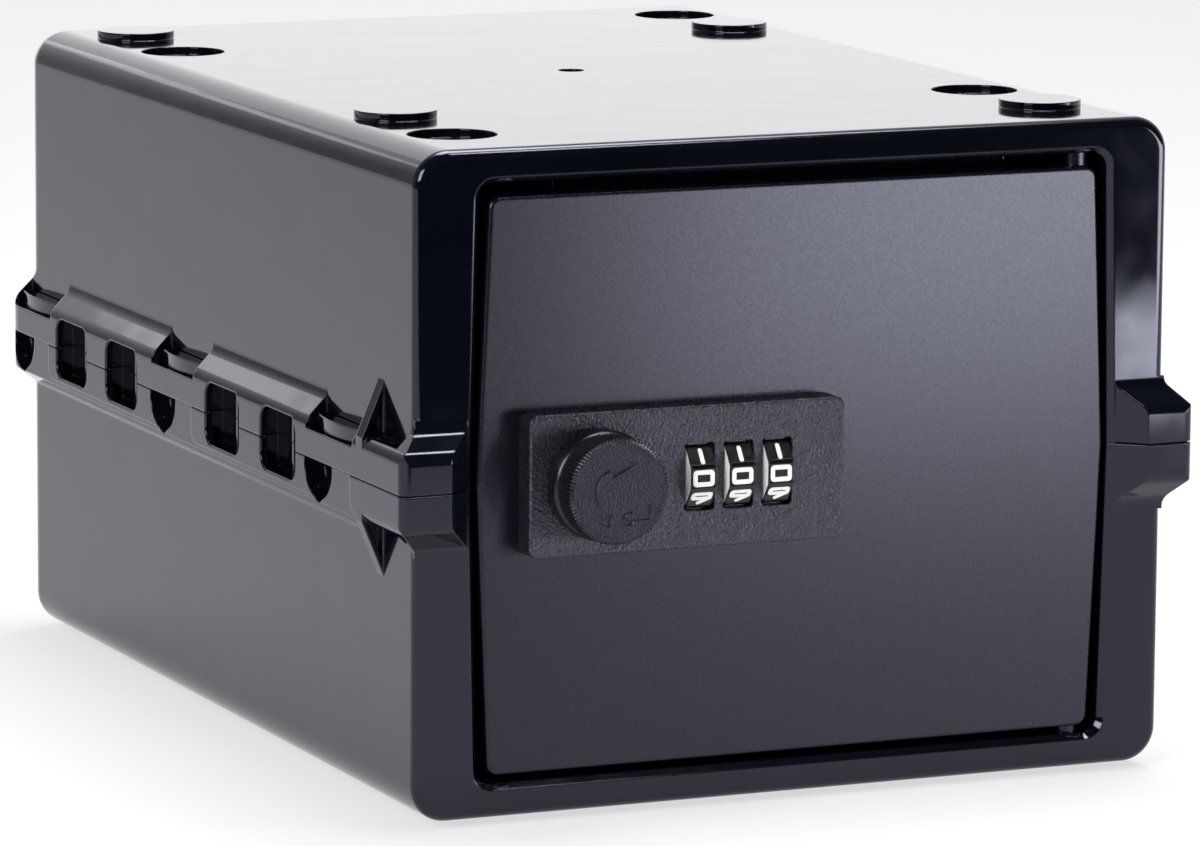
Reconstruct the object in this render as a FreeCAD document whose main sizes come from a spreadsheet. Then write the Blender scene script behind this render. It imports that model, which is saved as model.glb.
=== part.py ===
import FreeCAD, Part
import Sketcher
import math
import os
from types import SimpleNamespace

# Lockable storage box: two identical clipped half-shells, a hinged front door and a three-dial lock.
# X runs to the right, Y to the back and Z up, with the origin under the middle of the whole box.

doc = FreeCAD.newDocument("LockableBox")
sheet = doc.addObject("Spreadsheet::Sheet", "Sizes")

# Each row is a driving dimension in millimetres or a plain count.
SIZES = [
    # Half-shell walls
    ("body_width", 205.4, "side wall to side wall"),
    ("body_depth", 284.8, "front face to back wall"),
    ("shell_height", 83, "parting plane to the outer flat of one shell"),
    ("wall", 2.5, "shell wall"),
    ("edge_radius", 9, "long and rear outer edges"),
    ("front_radius", 2.5, "edges round the front face"),
    # Stacking discs and sockets, four of each on the flat
    ("gate_radius", 3.5, "moulding gate dimple in the flat"),
    ("gate_depth", 1.3, "moulding gate dimple in the flat"),
    ("disc_height", 2, "stacking disc, which is also the foot"),
    ("disc_radius", 10.5, "stacking disc"),
    ("socket_radius", 11.25, "stacking socket"),
    ("socket_depth", 2.3, "stacking socket"),
    ("stack_x", 81, "discs and sockets from the centre line"),
    ("stack_far", 113, "outer row from the middle of the depth"),
    ("stack_near", 76, "inner row from the middle of the depth"),
    # Clip band at the parting plane
    ("band_proud", 5.8, "band beyond the wall"),
    ("band_height", 15, "where the band's slope meets the wall"),
    ("skirt_height", 9, "upright outer face of the band"),
    ("band_skin", 2, "outer wall of the hollow band"),
    ("band_roof", 8.2, "height of the hollows inside the band"),
    ("sway_radius", 4.7, "both bends of the band's slope on the pocket side"),
    ("hook_skirt", 10.2, "upright outer face of the band on the hook side"),
    ("hook_slope", 14.6, "where the slope meets the wall on the hook side"),
    ("hook_sway", 1.5, "both bends of the slope on the hook side"),
    ("ear_sway", 3, "both bends of the front ear's slope on the hook side"),
    ("window_width", 24.4, "window in the band"),
    ("window_rise", 8, "half the height of a window"),
    ("window_radius", 4, "window corner"),
    ("window_edge", 0.5, "rounding of the window's outer edge"),
    ("window_rib", 1.6, "upright rib inside a window"),
    ("window_pitch", 39.6, "two windows of a pair"),
    ("pair_pitch", 115.3, "window pairs"),
    ("pair_middle", 12.4, "middle of the two pairs, behind the middle of the depth"),
    ("pocket_width", 31, "opening in the band for a hook"),
    ("pocket_pitch", 111.2, "hooks along the side"),
    ("pocket_middle", 11.2, "middle hook, behind the middle of the depth"),
    ("lip_height", 7, "lip that the hook catches"),
    ("hook_width", 27, "hook along the side"),
    ("hook_gap", 0.6, "hook from the other shell's wall"),
    ("hook_thick", 2.6, "hook arm"),
    ("hook_bite", 0.9, "hook head over the lip"),
    ("hook_play", 0.3, "hook head above the lip"),
    ("head_height", 3.6, "hook head"),
    ("relief_offset", 7.4, "pointed relief behind the middle of its hook"),
    ("relief_width", 18, "pointed relief"),
    ("relief_side", 6, "upright side of a pointed relief"),
    ("relief_tip", 11, "point of a relief from the parting plane"),
    ("relief_radius", 8, "shoulder of a pointed relief"),
    ("relief_depth", 5.5, "pointed relief"),
    ("panel_lead", 14, "panel's rear edge in front of a hook"),
    ("panel_height", 9.3, "panel from the parting plane"),
    ("panel_corner", 3.5, "panel's rear corner"),
    ("panel_step", 0.3, "band face round the panels, behind them"),
    ("panel_gap", 0.4, "shadow gap along the parting plane at a panel"),
    ("gap_depth", 1.2, "shadow gap along the parting plane at a panel"),
    ("back_hook", 52, "rear hook and pocket from the centre line"),
    # Front corners
    ("fin_setback", 20, "corner gusset behind the front face"),
    ("fin_rise", 24.4, "corner gusset above the parting plane"),
    ("fin_thick", 4, "corner gusset"),
    ("fin_rim", 1.1, "rim round the hollow in a gusset's front"),
    ("fin_hollow", 2.6, "hollow in a gusset's front"),
    ("shelf_height", 10.5, "band in front of the gusset"),
    ("ear_flare", 6.5, "sideways slant of the inner face of a front ear"),
    ("drain_length", 10, "slot in the shelf in front of the gusset"),
    ("drain_width", 2.4, "slot in the shelf in front of the gusset"),
    # Door opening
    ("opening_end", 171.2, "opening width at the top and bottom"),
    ("opening_middle", 174.6, "opening width at the parting plane"),
    ("opening_rise", 74.5, "opening above the parting plane"),
    ("opening_radius", 4, "opening corner"),
    ("opening_bevel", 1.5, "bevel round the opening"),
    ("jamb_depth", 13, "front face to the rear edge of the door jamb"),
    ("jamb_wall", 2, "door jamb"),
    # Door and hinge
    ("door_recess", 1, "door face behind the front face"),
    ("door_end", 165.6, "door width at its top and bottom"),
    ("door_middle", 172, "door width at the parting plane"),
    ("door_top", 71, "door above the parting plane"),
    ("door_bottom", 72.6, "door below the parting plane"),
    ("door_skin", 3, "door face wall"),
    ("door_depth", 10, "door face to the rear of its rim"),
    ("door_rim", 2, "door rim"),
    ("door_corner", 3, "door corner radius"),
    ("door_edge", 1, "rounding of the door's free edges"),
    ("door_swing_edge", 2, "rounding of the door's hinged edge"),
    ("rib_thick", 1.6, "stiffening rib inside the door"),
    ("rib_depth", 5, "stiffening rib inside the door"),
    ("rib_x", 22, "upright rib from the centre line"),
    ("rib_z", 40, "level ribs from the parting plane"),
    ("hinge_x", 79, "hinge axis from the centre line"),
    ("hinge_y", 5.5, "hinge axis behind the front face"),
    ("pin_radius", 3, "hinge pin"),
    ("pin_play", 0.05, "running clearance of a shaft, on the radius"),
    ("pin_reach", 5, "hinge pin inside its socket"),
    ("boss_radius", 5, "hinge socket boss"),
    ("boss_end", 75, "hinge socket boss, end from the parting plane"),
    ("knuckle_width", 10, "solid corner of the door that carries a pin"),
    ("knuckle_height", 10, "solid corner of the door that carries a pin"),
    ("stop_half", 62, "half the length of the door stop ledge"),
    ("stop_end", 66, "door stop ledge, edge from the parting plane"),
    ("stop_gap", 0.4, "closed door to its stops"),
    # Lock body
    ("lock_x", -32.4, "lock centre from the centre line"),
    ("plate_width", 85, "lock bezel"),
    ("plate_height", 35.5, "lock bezel"),
    ("plate_depth", 7, "lock bezel in front of the door"),
    ("plate_radius", 2.5, "lock bezel corner"),
    ("plate_edge", 0.7, "lock bezel front edge"),
    ("plate_wall", 1.6, "lock bezel front wall"),
    ("well_width", 70, "hollow of the lock"),
    ("well_height", 29, "hollow of the lock"),
    ("fit_gap", 0.2, "assembly clearance between lock pieces"),
    ("cover_depth", 11, "rear cover behind the door face"),
    ("cover_wall", 1.6, "rear cover wall"),
    ("cover_lip", 1, "rear cover inside the bezel"),
    ("post_x", 31, "rear cover screw from the lock centre"),
    ("post_z", 10.5, "rear cover screw from the lock centre"),
    ("post_radius", 2.8, "rear cover screw post"),
    ("cover_screw_radius", 1.1, "rear cover screw"),
    ("cover_head_radius", 2.2, "rear cover screw head"),
    ("cover_head", 1, "rear cover screw head"),
    ("tie_x", 38.5, "lock fixing screw from the lock centre"),
    ("tie_radius", 1.25, "lock fixing screw"),
    ("tie_head_radius", 2.8, "lock fixing screw head"),
    ("tie_head", 2, "lock fixing screw head"),
    ("tie_reach", 4.5, "lock fixing screw inside the bezel"),
    ("screw_gap", 0.3, "screw clearance hole, on the radius"),
    ("bracket_width", 92, "retaining plate"),
    ("bracket_height", 40, "retaining plate"),
    ("bracket_thick", 1.5, "retaining plate"),
    # Knob, spindle and cam
    ("knob_x", -24.2, "knob axis from the lock centre"),
    ("knob_reach", 13, "knob face in front of the bezel"),
    ("knob_radius", 13.25, "knob over its knurls"),
    ("knurl_depth", 0.45, "knurl"),
    ("knurl_count", 90, "knurls round the knob"),
    ("knob_bevel", 0.8, "knob front edge"),
    ("collar_radius", 13.75, "smooth collar"),
    ("collar_height", 5, "smooth collar"),
    ("collar_edge", 2, "smooth collar front edge"),
    ("turn_gap", 0.3, "knob to collar"),
    ("bush_radius", 5.5, "spindle bush"),
    ("spindle_radius", 4, "spindle"),
    ("spindle_socket", 6, "spindle inside the knob"),
    ("flange_radius", 6, "spindle flange"),
    ("flange_thick", 1.2, "spindle flange"),
    ("eccentric_radius", 5.5, "eccentric"),
    ("slide_y", 4.2, "locking slide behind the door face"),
    ("slide_thick", 2, "locking slide"),
    ("square", 5.6, "square end of the spindle"),
    ("washer_radius", 7, "cam washer"),
    ("cam_gap", 0.3, "cam to the jamb"),
    ("cam_thick", 2.5, "cam"),
    ("cam_hub", 8, "cam hub radius"),
    ("cam_width", 12, "cam tongue"),
    ("cam_length", 38, "cam tongue from the spindle axis"),
    ("cam_screw_radius", 2, "cam screw"),
    ("cam_screw_length", 9, "cam screw"),
    ("cam_head_radius", 4, "cam screw head"),
    ("cam_head", 2.2, "cam screw head"),
    # Dials and code sleeves
    ("dial_first", 2.9, "first dial from the lock centre"),
    ("dial_pitch", 10.5, "dials"),
    ("dial_radius", 9.4, "dial over its corners"),
    ("dial_width", 6.8, "dial"),
    ("dial_sink", 6.2, "dial axis behind the bezel face"),
    ("ring_thick", 0.6, "black number ring"),
    ("slot_width", 8.3, "dial slot in the bezel"),
    ("slot_height", 17, "dial slot in the bezel"),
    ("slot_radius", 1, "dial slot corner"),
    ("axle_radius", 2, "dial axle"),
    ("sleeve_radius", 3, "code sleeve"),
    ("code_radius", 4.1, "code flange"),
    ("code_thick", 1, "code flange"),
    ("code_offset", 1.3, "code flange beyond its dial"),
    ("prong_thick", 0.8, "locking prong"),
    ("prong_gap", 0.2, "locking prong to code flange"),
    ("prong_rise", 1.2, "locking prong above the lock centre"),
    ("tooth_reach", 1.7, "tooth of a locking prong in front of the slide"),
    ("notch_gap", 0.3, "code notch above and below the tooth"),
    ("bar_height", 2.2, "locking bar"),
    ("bar_drop", 12.4, "underside of the locking bar from the lock centre"),
    ("support_thick", 2, "axle support"),
    ("spring_thick", 0.4, "detent spring"),
    ("finger_width", 4, "detent spring finger"),
    ("finger_rise", 13, "detent spring finger above its strip"),
    ("strip_height", 3, "detent spring strip"),
    ("reset_x", 8, "code-change lever from the lock centre"),
    ("reset_z", 11, "code-change lever from the lock centre"),
    ("reset_travel", 4, "code-change lever"),
    ("reset_stem", 3, "code-change lever stem, sideways"),
    ("stem_height", 2, "code-change lever stem"),
    ("reset_block", 8, "code-change lever inner block"),
    ("reset_height", 2.6, "code-change lever inner block"),
    ("reset_depth", 1.8, "code-change lever inner block"),
    ("reset_tab", 1.2, "code-change lever outside the cover"),
]


class Size:
    # A length or count together with the sheet formula that gives it.
    def __init__(self, text, value):
        self.text = text
        self.value = value

    def __add__(self, other):
        return Size(f"({self.text} + {text_of(other)})", self.value + number(other))

    def __sub__(self, other):
        return Size(f"({self.text} - {text_of(other)})", self.value - number(other))

    def __mul__(self, other):
        return Size(f"({self.text} * {text_of(other)})", self.value * number(other))

    def __truediv__(self, other):
        return Size(f"({self.text} / {text_of(other)})", self.value / number(other))

    def __neg__(self):
        return Size(f"(0 - {self.text})", -self.value)


def number(size):
    return size.value if isinstance(size, Size) else size


def text_of(size):
    return size.text if isinstance(size, Size) else str(size)


def fill_sheet():
    for row, (alias, value, note) in enumerate(SIZES, start=1):
        sheet.set(f"A{row}", alias)
        sheet.set(f"B{row}", str(value))
        sheet.setAlias(f"B{row}", alias)
        sheet.set(f"C{row}", note)
    doc.recompute()
    return SimpleNamespace(**{alias: Size(f"Sizes.{alias}", value) for alias, value, note in SIZES})


d = fill_sheet()

# Places worked out from the driving dimensions
parting_z = d.shell_height + d.disc_height
half_width = d.body_width / 2
knob_front = d.door_recess - d.plate_depth - d.knob_reach
band_back = d.body_depth + d.band_proud
front = -(knob_front + band_back) / 2
middle_y = front + d.body_depth / 2
back = front + d.body_depth
band_half = half_width + d.band_proud
door_face = front + d.door_recess
dial_y = d.dial_sink - d.plate_depth
cover_inner = d.cover_depth - d.cover_wall
cam_front = d.jamb_depth - d.door_recess + d.cam_gap
throw = (d.prong_thick + d.prong_gap * 2 + d.code_thick) / 2
flange_x = d.dial_width / 2 + d.code_offset
dials_x = [d.dial_first + d.dial_pitch * i for i in range(3)]
support_left = d.dial_first - d.dial_width / 2 - d.fit_gap * 2 - d.support_thick
support_right = dials_x[-1] + d.dial_pitch - d.dial_width / 2 + d.fit_gap * 2 + d.support_thick


# Small tools for sketches and features

def bind(thing, **sizes):
    for name, size in sizes.items():
        if isinstance(size, Size):
            thing.setExpression(name, size.text)
        else:
            setattr(thing, name, size)
    return thing


def place(thing, x=0, y=0, z=0, rotation=None):
    base = FreeCAD.Vector(number(x), number(y), number(z))
    thing.Placement = FreeCAD.Placement(base, rotation or FreeCAD.Rotation())
    for axis, size in (("x", x), ("y", y), ("z", z)):
        if isinstance(size, Size):
            thing.setExpression(f"Placement.Base.{axis}", size.text)
    return thing


def new_body(label):
    body = doc.addObject("PartDesign::Body", label)
    body.Label = label
    return body


def sketch_on(body, name, role, x=0, y=0, z=0):
    # x, y and z shift the sketch along its own right, up and outward directions.
    sketch = body.newObject("Sketcher::SketchObject", name)
    plane = next(part for part in body.Origin.OriginFeatures if part.Role == role)
    sketch.AttachmentSupport = (plane, [""])
    sketch.MapMode = "FlatFace"
    sketch.AttachmentOffset = FreeCAD.Placement(
        FreeCAD.Vector(number(x), number(y), number(z)), FreeCAD.Rotation())
    for axis, size in (("x", x), ("y", y), ("z", z)):
        if isinstance(size, Size):
            sketch.setExpression(f"AttachmentOffset.Base.{axis}", size.text)
    return sketch


def constrain(sketch, constraint, size):
    index = sketch.addConstraint(constraint)
    if isinstance(size, Size):
        name = f"size_{index}_{sketch.GeometryCount}"
        sketch.renameConstraint(index, name)
        sketch.setExpression(f"Constraints.{name}", size.text)


def pin_point(sketch, edge, end, x, y):
    constrain(sketch, Sketcher.Constraint("DistanceX", edge, end, number(x)), x)
    constrain(sketch, Sketcher.Constraint("DistanceY", edge, end, number(y)), y)


def outline(sketch, points):
    # A point with a third value has its corner rounded to that radius.
    first = sketch.GeometryCount
    count = len(points)
    corners = [FreeCAD.Vector(number(point[0]), number(point[1]), 0) for point in points]
    for i in range(count):
        sketch.addGeometry(Part.LineSegment(corners[i], corners[(i + 1) % count]))
    for i in range(count):
        sketch.addConstraint(Sketcher.Constraint("Coincident", first + i, 2, first + (i + 1) % count, 1))
    for i, point in enumerate(points):
        if len(point) == 3:
            sketch.fillet(first + i, 1, number(point[2]), 1, True)
            arc = sketch.GeometryCount - 2
            constrain(sketch, Sketcher.Constraint("Radius", arc, number(point[2])), point[2])
            pin_point(sketch, arc + 1, 1, point[0], point[1])
        else:
            pin_point(sketch, first + i, 1, point[0], point[1])


def rectangle(sketch, x0, x1, y0, y1, radius=None):
    corners = [(x0, y0), (x1, y0), (x1, y1), (x0, y1)]
    if radius is not None:
        corners = [corner + (radius,) for corner in corners]
    outline(sketch, corners)


def circle(sketch, x, y, radius):
    geometry = Part.Circle(FreeCAD.Vector(number(x), number(y), 0), FreeCAD.Vector(0, 0, 1), number(radius))
    index = sketch.addGeometry(geometry)
    pin_point(sketch, index, 3, x, y)
    constrain(sketch, Sketcher.Constraint("Radius", index, number(radius)), radius)


def pad(body, name, sketch, length, reverse=False):
    feature = body.newObject("PartDesign::Pad", name)
    feature.Profile = sketch
    feature.Refine = False
    feature.Reversed = reverse
    bind(feature, Length=length)
    doc.recompute()
    return feature


def pocket(body, name, sketch, length, reverse=False):
    before = body.Tip.Shape.Volume
    feature = body.newObject("PartDesign::Pocket", name)
    feature.Profile = sketch
    feature.Refine = False
    feature.Reversed = reverse
    bind(feature, Length=length)
    doc.recompute()
    if feature.Shape.Volume > before - 0.01:
        raise RuntimeError(f"{body.Label}: {name} cuts nothing")
    return feature


def turned(body, name, sketch, angle, reverse=False):
    feature = body.newObject("PartDesign::Revolution", name)
    feature.Profile = sketch
    feature.ReferenceAxis = (sketch, ["V_Axis"])
    feature.Angle = angle
    feature.Reversed = reverse
    doc.recompute()
    return feature


def dress(body, name, kind, picked, **sizes):
    # A fillet or chamfer on the edges of the tip that the test picks.
    base = body.Tip
    names = [f"Edge{i}" for i, edge in enumerate(base.Shape.Edges, start=1) if picked(edge)]
    feature = body.newObject(kind, name)
    feature.Base = (base, names)
    bind(feature, **sizes)
    doc.recompute()
    return feature


def fillet(body, name, radius, picked):
    return dress(body, name, "PartDesign::Fillet", picked, Radius=radius)


def chamfer(body, name, size, picked):
    return dress(body, name, "PartDesign::Chamfer", picked, Size=size)


def near(a, b, room=0.02):
    return abs(a - number(b)) < room


def ends(edge):
    return [vertex.Point for vertex in edge.Vertexes]


# Half-shell. Its own frame has the parting plane at z = 0 and the flat at the top.

def shell_walls(body):
    outer = place(body.newObject("PartDesign::AdditiveBox", "OuterWalls"), -half_width, front, 0)
    bind(outer, Length=d.body_width, Width=d.body_depth, Height=d.shell_height)
    doc.recompute()
    fillet(body, "OuterEdges", d.edge_radius, lambda edge: soft_edge(edge, d.shell_height, 0))
    fillet(body, "FrontEdges", d.front_radius, front_edge)
    space = new_body(f"{body.Label}_space")
    inner = space.newObject("PartDesign::AdditiveBox", "InnerSpace")
    place(inner, -half_width + d.wall, front + d.wall, 0)
    inner_top = d.shell_height - d.wall
    bind(inner, Length=d.body_width - d.wall * 2, Width=d.body_depth - d.wall * 2, Height=inner_top)
    doc.recompute()
    fillet(space, "InnerEdges", d.edge_radius - d.wall, lambda edge: soft_edge(edge, inner_top, d.wall))
    hollow = body.newObject("PartDesign::Boolean", "Hollow")
    hollow.Type = "Cut"
    hollow.Group = [space]
    doc.recompute()


def soft_edge(edge, top, inset):
    # The side and rear edges at one height, and the two rear uprights below them.
    first, last = ends(edge)[0], ends(edge)[-1]
    at_rear = near(first.y, back - inset) and near(last.y, back - inset)
    if near(first.z, top) and near(last.z, top):
        return at_rear or near(first.x, last.x)
    return at_rear and near(first.x, last.x)


def front_edge(edge):
    on_front = all(near(point.y, front) for point in ends(edge))
    at_floor = all(near(point.z, 0) for point in ends(edge))
    return on_front and not at_floor


# Upright face, foot of the slope at the wall and bend radius of the band's two sections
POCKET_SIDE = (d.skirt_height, d.band_height, d.sway_radius)
HOOK_SIDE = (d.hook_skirt, d.hook_slope, d.hook_sway)


def band_section(sketch, origin, side, form):
    # Upright skirt, then a slope that bends out of the wall and over the shoulder.
    skirt, slope, bend = form
    reach = slope + bend * 0.55
    root = origin - d.wall * side / 2
    face = origin + d.band_proud * side
    outline(sketch, [
        (root, 0), (face, 0), (face, skirt, bend), (origin, slope, bend), (origin, reach), (root, reach)])


def outside_section(sketch, origin, side, form):
    # What lies over the slope, for trimming a corner where two sections meet.
    skirt, slope, bend = form
    reach = slope + bend
    face = origin + d.band_proud * side
    clear = face + d.wall * side
    outline(sketch, [
        (face, skirt - bend), (face, skirt, bend), (origin, slope, bend), (origin, reach),
        (clear, reach), (clear, skirt - bend)])


def shell_band(body):
    # The rear band changes from one section to the other inside its pocket.
    fin_front = front + d.fin_setback
    corner_y = back - d.edge_radius
    corner_x = half_width - d.edge_radius
    for side, word, form in ((-1, "Left", POCKET_SIDE), (1, "Right", HOOK_SIDE)):
        section = sketch_on(body, f"{word}BandSection", "XZ_Plane", z=-fin_front)
        band_section(section, half_width * side, side, form)
        pad(body, f"{word}Band", section, corner_y - fin_front, reverse=True)
        turn = sketch_on(body, f"{word}CornerSection", "XZ_Plane", x=corner_x * side, z=-corner_y)
        band_section(turn, d.edge_radius * side, side, form)
        turned(body, f"{word}Corner", turn, 90, reverse=side < 0)
        section = sketch_on(body, f"{word}BackSection", "YZ_Plane", z=-d.back_hook)
        band_section(section, back, 1, form)
        pad(body, f"{word}BackBand", section, corner_x + d.back_hook * side, reverse=side < 0)


def shell_ears(body):
    # The band in front of the gussets is a low shelf, and wraps round the front corners as two mitred ears.
    fin_front = front + d.fin_setback
    ear_front = front - d.band_proud
    ahead = ear_front - d.wall
    mouth = d.opening_middle / 2 + d.opening_bevel
    for side, word, bend in ((-1, "Left", d.sway_radius), (1, "Right", d.ear_sway)):
        form = (d.skirt_height, d.band_height, bend)
        shelf = sketch_on(body, f"{word}Shelf", "XY_Plane")
        inner = (half_width - d.wall / 2) * side
        rectangle(shelf, inner, band_half * side, ear_front, fin_front)
        pad(body, f"{word}ShelfPad", shelf, d.shelf_height)
        slope = sketch_on(body, f"{word}EarSection", "YZ_Plane", z=mouth * side)
        band_section(slope, front, -1, form)
        pad(body, f"{word}Ear", slope, band_half - mouth, reverse=side < 0)
        mitre = sketch_on(body, f"{word}Mitre", "XZ_Plane", z=-ahead)
        outside_section(mitre, half_width * side, side, form)
        pocket(body, f"{word}MitreCut", mitre, fin_front - ahead)
        brow = sketch_on(body, f"{word}Brow", "YZ_Plane", z=inner)
        outside_section(brow, front, -1, form)
        pocket(body, f"{word}BrowCut", brow, d.band_proud + d.wall, reverse=side > 0)
        edge = sketch_on(body, f"{word}EarEdge", "XY_Plane")
        corner, past, start = band_half * side, (band_half + d.wall) * side, (half_width - d.wall) * side
        outline(edge, [
            (past, ahead), (past, front), (corner, front), (corner, ear_front, d.front_radius),
            (start, ear_front), (start, ahead)])
        pocket(body, f"{word}EarEdgeCut", edge, d.band_height, reverse=True)
    slant = sketch_on(body, "EarSlant", "XY_Plane")
    outline(slant, [
        (-mouth, front), (mouth, front),
        (mouth + d.ear_flare, ear_front), (mouth + d.ear_flare, ahead),
        (-(mouth + d.ear_flare), ahead), (-(mouth + d.ear_flare), ear_front)])
    pocket(body, "EarFaces", slant, d.band_height + d.sway_radius * 2, reverse=True)


def shell_opening(body):
    mouth = sketch_on(body, "OpeningOutline", "XZ_Plane", z=-front)
    mid = d.opening_middle / 2
    end = d.opening_end / 2
    outline(mouth, [
        (-mid, 0), (mid, 0), (end, d.opening_rise, d.opening_radius), (-end, d.opening_rise, d.opening_radius)])
    pocket(body, "Opening", mouth, d.wall)
    chamfer(body, "OpeningBevel", d.opening_bevel, opening_edge)
    for side, word in ((-1, "Left"), (1, "Right")):
        jamb = sketch_on(body, f"{word}JambSection", "XZ_Plane", z=-(front + d.wall))
        top = d.shell_height - d.wall / 2
        lean = (mid - end) * top / d.opening_rise
        outline(jamb, [
            (mid * side, 0), ((mid + d.jamb_wall) * side, 0),
            ((mid + d.jamb_wall - lean) * side, top), ((mid - lean) * side, top)])
        pad(body, f"{word}Jamb", jamb, d.jamb_depth - d.wall, reverse=True)


def opening_edge(edge):
    half = number(d.opening_middle) / 2 + 0.1
    inside = all(abs(point.x) < half and 0 <= point.z < number(d.opening_rise) + 0.1 for point in ends(edge))
    at_floor = all(near(point.z, 0) for point in ends(edge))
    return inside and not at_floor and all(near(point.y, front) for point in ends(edge))


def shell_hinge_and_stops(body):
    hinge_line = front + d.hinge_y
    top = d.shell_height - d.wall / 2
    bosses = sketch_on(body, "HingeBosses", "XY_Plane", z=d.boss_end)
    for side in (-1, 1):
        circle(bosses, d.hinge_x * side, hinge_line, d.boss_radius)
    pad(body, "HingeBossPads", bosses, top - d.boss_end)
    sockets = sketch_on(body, "HingeSockets", "XY_Plane", z=d.boss_end)
    for side in (-1, 1):
        circle(sockets, d.hinge_x * side, hinge_line, d.pin_radius + d.pin_play)
    pocket(body, "HingeSocketCuts", sockets, d.pin_reach + d.wall / 2, reverse=True)
    stop_front = door_face + d.door_depth + d.stop_gap
    stop = sketch_on(body, "DoorStop", "XY_Plane", z=d.stop_end)
    rectangle(stop, -d.stop_half, d.stop_half, stop_front, stop_front + d.wall)
    pad(body, "DoorStopPad", stop, top - d.stop_end)


def stack_places(first):
    # Discs and sockets swap places from side to side, so a box turned over still stacks.
    rows = [(-1, 1, d.stack_far), (-1, -1, d.stack_near), (1, 1, d.stack_near), (1, -1, d.stack_far)]
    sign = 1 if first else -1
    return [(d.stack_x * side, middle_y + row * lengthwise * sign) for side, lengthwise, row in rows]


def shell_flat(body):
    floor = d.socket_depth + d.wall
    bumps = sketch_on(body, "SocketFloors", "XY_Plane", z=d.shell_height - floor)
    sockets = sketch_on(body, "Sockets", "XY_Plane", z=d.shell_height)
    for x, y in stack_places(False):
        circle(bumps, x, y, d.socket_radius + d.wall)
        circle(sockets, x, y, d.socket_radius)
    pad(body, "SocketFloorPads", bumps, d.socket_depth + d.wall / 2)
    pocket(body, "SocketCuts", sockets, d.socket_depth)
    discs = sketch_on(body, "Discs", "XY_Plane", z=d.shell_height)
    for x, y in stack_places(True):
        circle(discs, x, y, d.disc_radius)
    pad(body, "DiscPads", discs, d.disc_height)
    gate = sketch_on(body, "Gate", "XY_Plane", z=d.shell_height)
    circle(gate, 0, middle_y, d.gate_radius)
    pocket(body, "GateDimple", gate, d.gate_depth)


def window_rows():
    for pair in (-1, 1):
        middle = middle_y + d.pair_middle + d.pair_pitch * pair / 2
        yield middle - d.window_pitch / 2
        yield middle + d.window_pitch / 2


def shell_windows(body):
    # Each window opens into a hollow between the wall and the band's skin, with a rib on the wall.
    hollow_depth = d.band_proud - d.band_skin
    half = d.window_width / 2
    reach = half + d.band_skin
    for side, word in ((-1, "Left"), (1, "Right")):
        wall_line = half_width * side
        hollows = sketch_on(body, f"{word}BandHollows", "XY_Plane")
        for y in window_rows():
            rectangle(hollows, wall_line, wall_line + hollow_depth * side, y - reach, y + reach)
        pocket(body, f"{word}HollowCuts", hollows, d.band_roof, reverse=True)
        ribs = sketch_on(body, f"{word}WindowRibs", "XY_Plane")
        for y in window_rows():
            inner, outer = wall_line - d.wall * side / 2, wall_line + d.window_rib * side
            rectangle(ribs, inner, outer, y - d.window_rib / 2, y + d.window_rib / 2)
        pad(body, f"{word}WindowRibPads", ribs, d.band_roof + d.wall / 2)
        cuts = sketch_on(body, f"{word}Windows", "YZ_Plane", z=wall_line + hollow_depth * side / 2)
        for y in window_rows():
            outline(cuts, [
                (y - half, 0), (y + half, 0), (y + half, d.window_rise, d.window_radius),
                (y - half, d.window_rise, d.window_radius)])
        pocket(body, f"{word}WindowCuts", cuts, d.band_proud, reverse=side > 0)
    fillet(body, "WindowEdges", d.window_edge, window_edge)


def window_edge(edge):
    points = ends(edge)
    on_face = all(near(abs(point.x), band_half) for point in points)
    in_row = any(abs(points[0].y - number(y)) < number(d.window_width) / 2 + 0.1 for y in window_rows())
    low, high = min(point.z for point in points), max(point.z for point in points)
    return on_face and in_row and -0.01 < low and 0.01 < high < number(d.window_rise) + 0.01


def hook_rows():
    return [middle_y + d.pocket_middle + d.pocket_pitch * step for step in (-1, 0, 1)]


def shell_pockets(body):
    # Left side and the left of the back: slots that the other shell's hooks rise through.
    depth = d.band_proud - d.band_skin
    side_slots = sketch_on(body, "HookSlots", "XY_Plane")
    roofs = sketch_on(body, "HookRoofs", "XY_Plane", z=d.lip_height)
    for y in hook_rows():
        half = d.pocket_width / 2
        rectangle(side_slots, -(half_width + depth), -half_width, y - half, y + half)
        rectangle(roofs, -(band_half + d.wall), -half_width, y - half, y + half)
    half = d.pocket_width / 2
    left, right = -(d.back_hook + half), -(d.back_hook - half)
    rectangle(side_slots, left, right, back, back + depth)
    rectangle(roofs, left, right, back, back + d.band_proud + d.wall)
    pocket(body, "HookSlotCuts", side_slots, d.lip_height, reverse=True)
    pocket(body, "HookRoofCuts", roofs, d.band_height, reverse=True)


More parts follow.
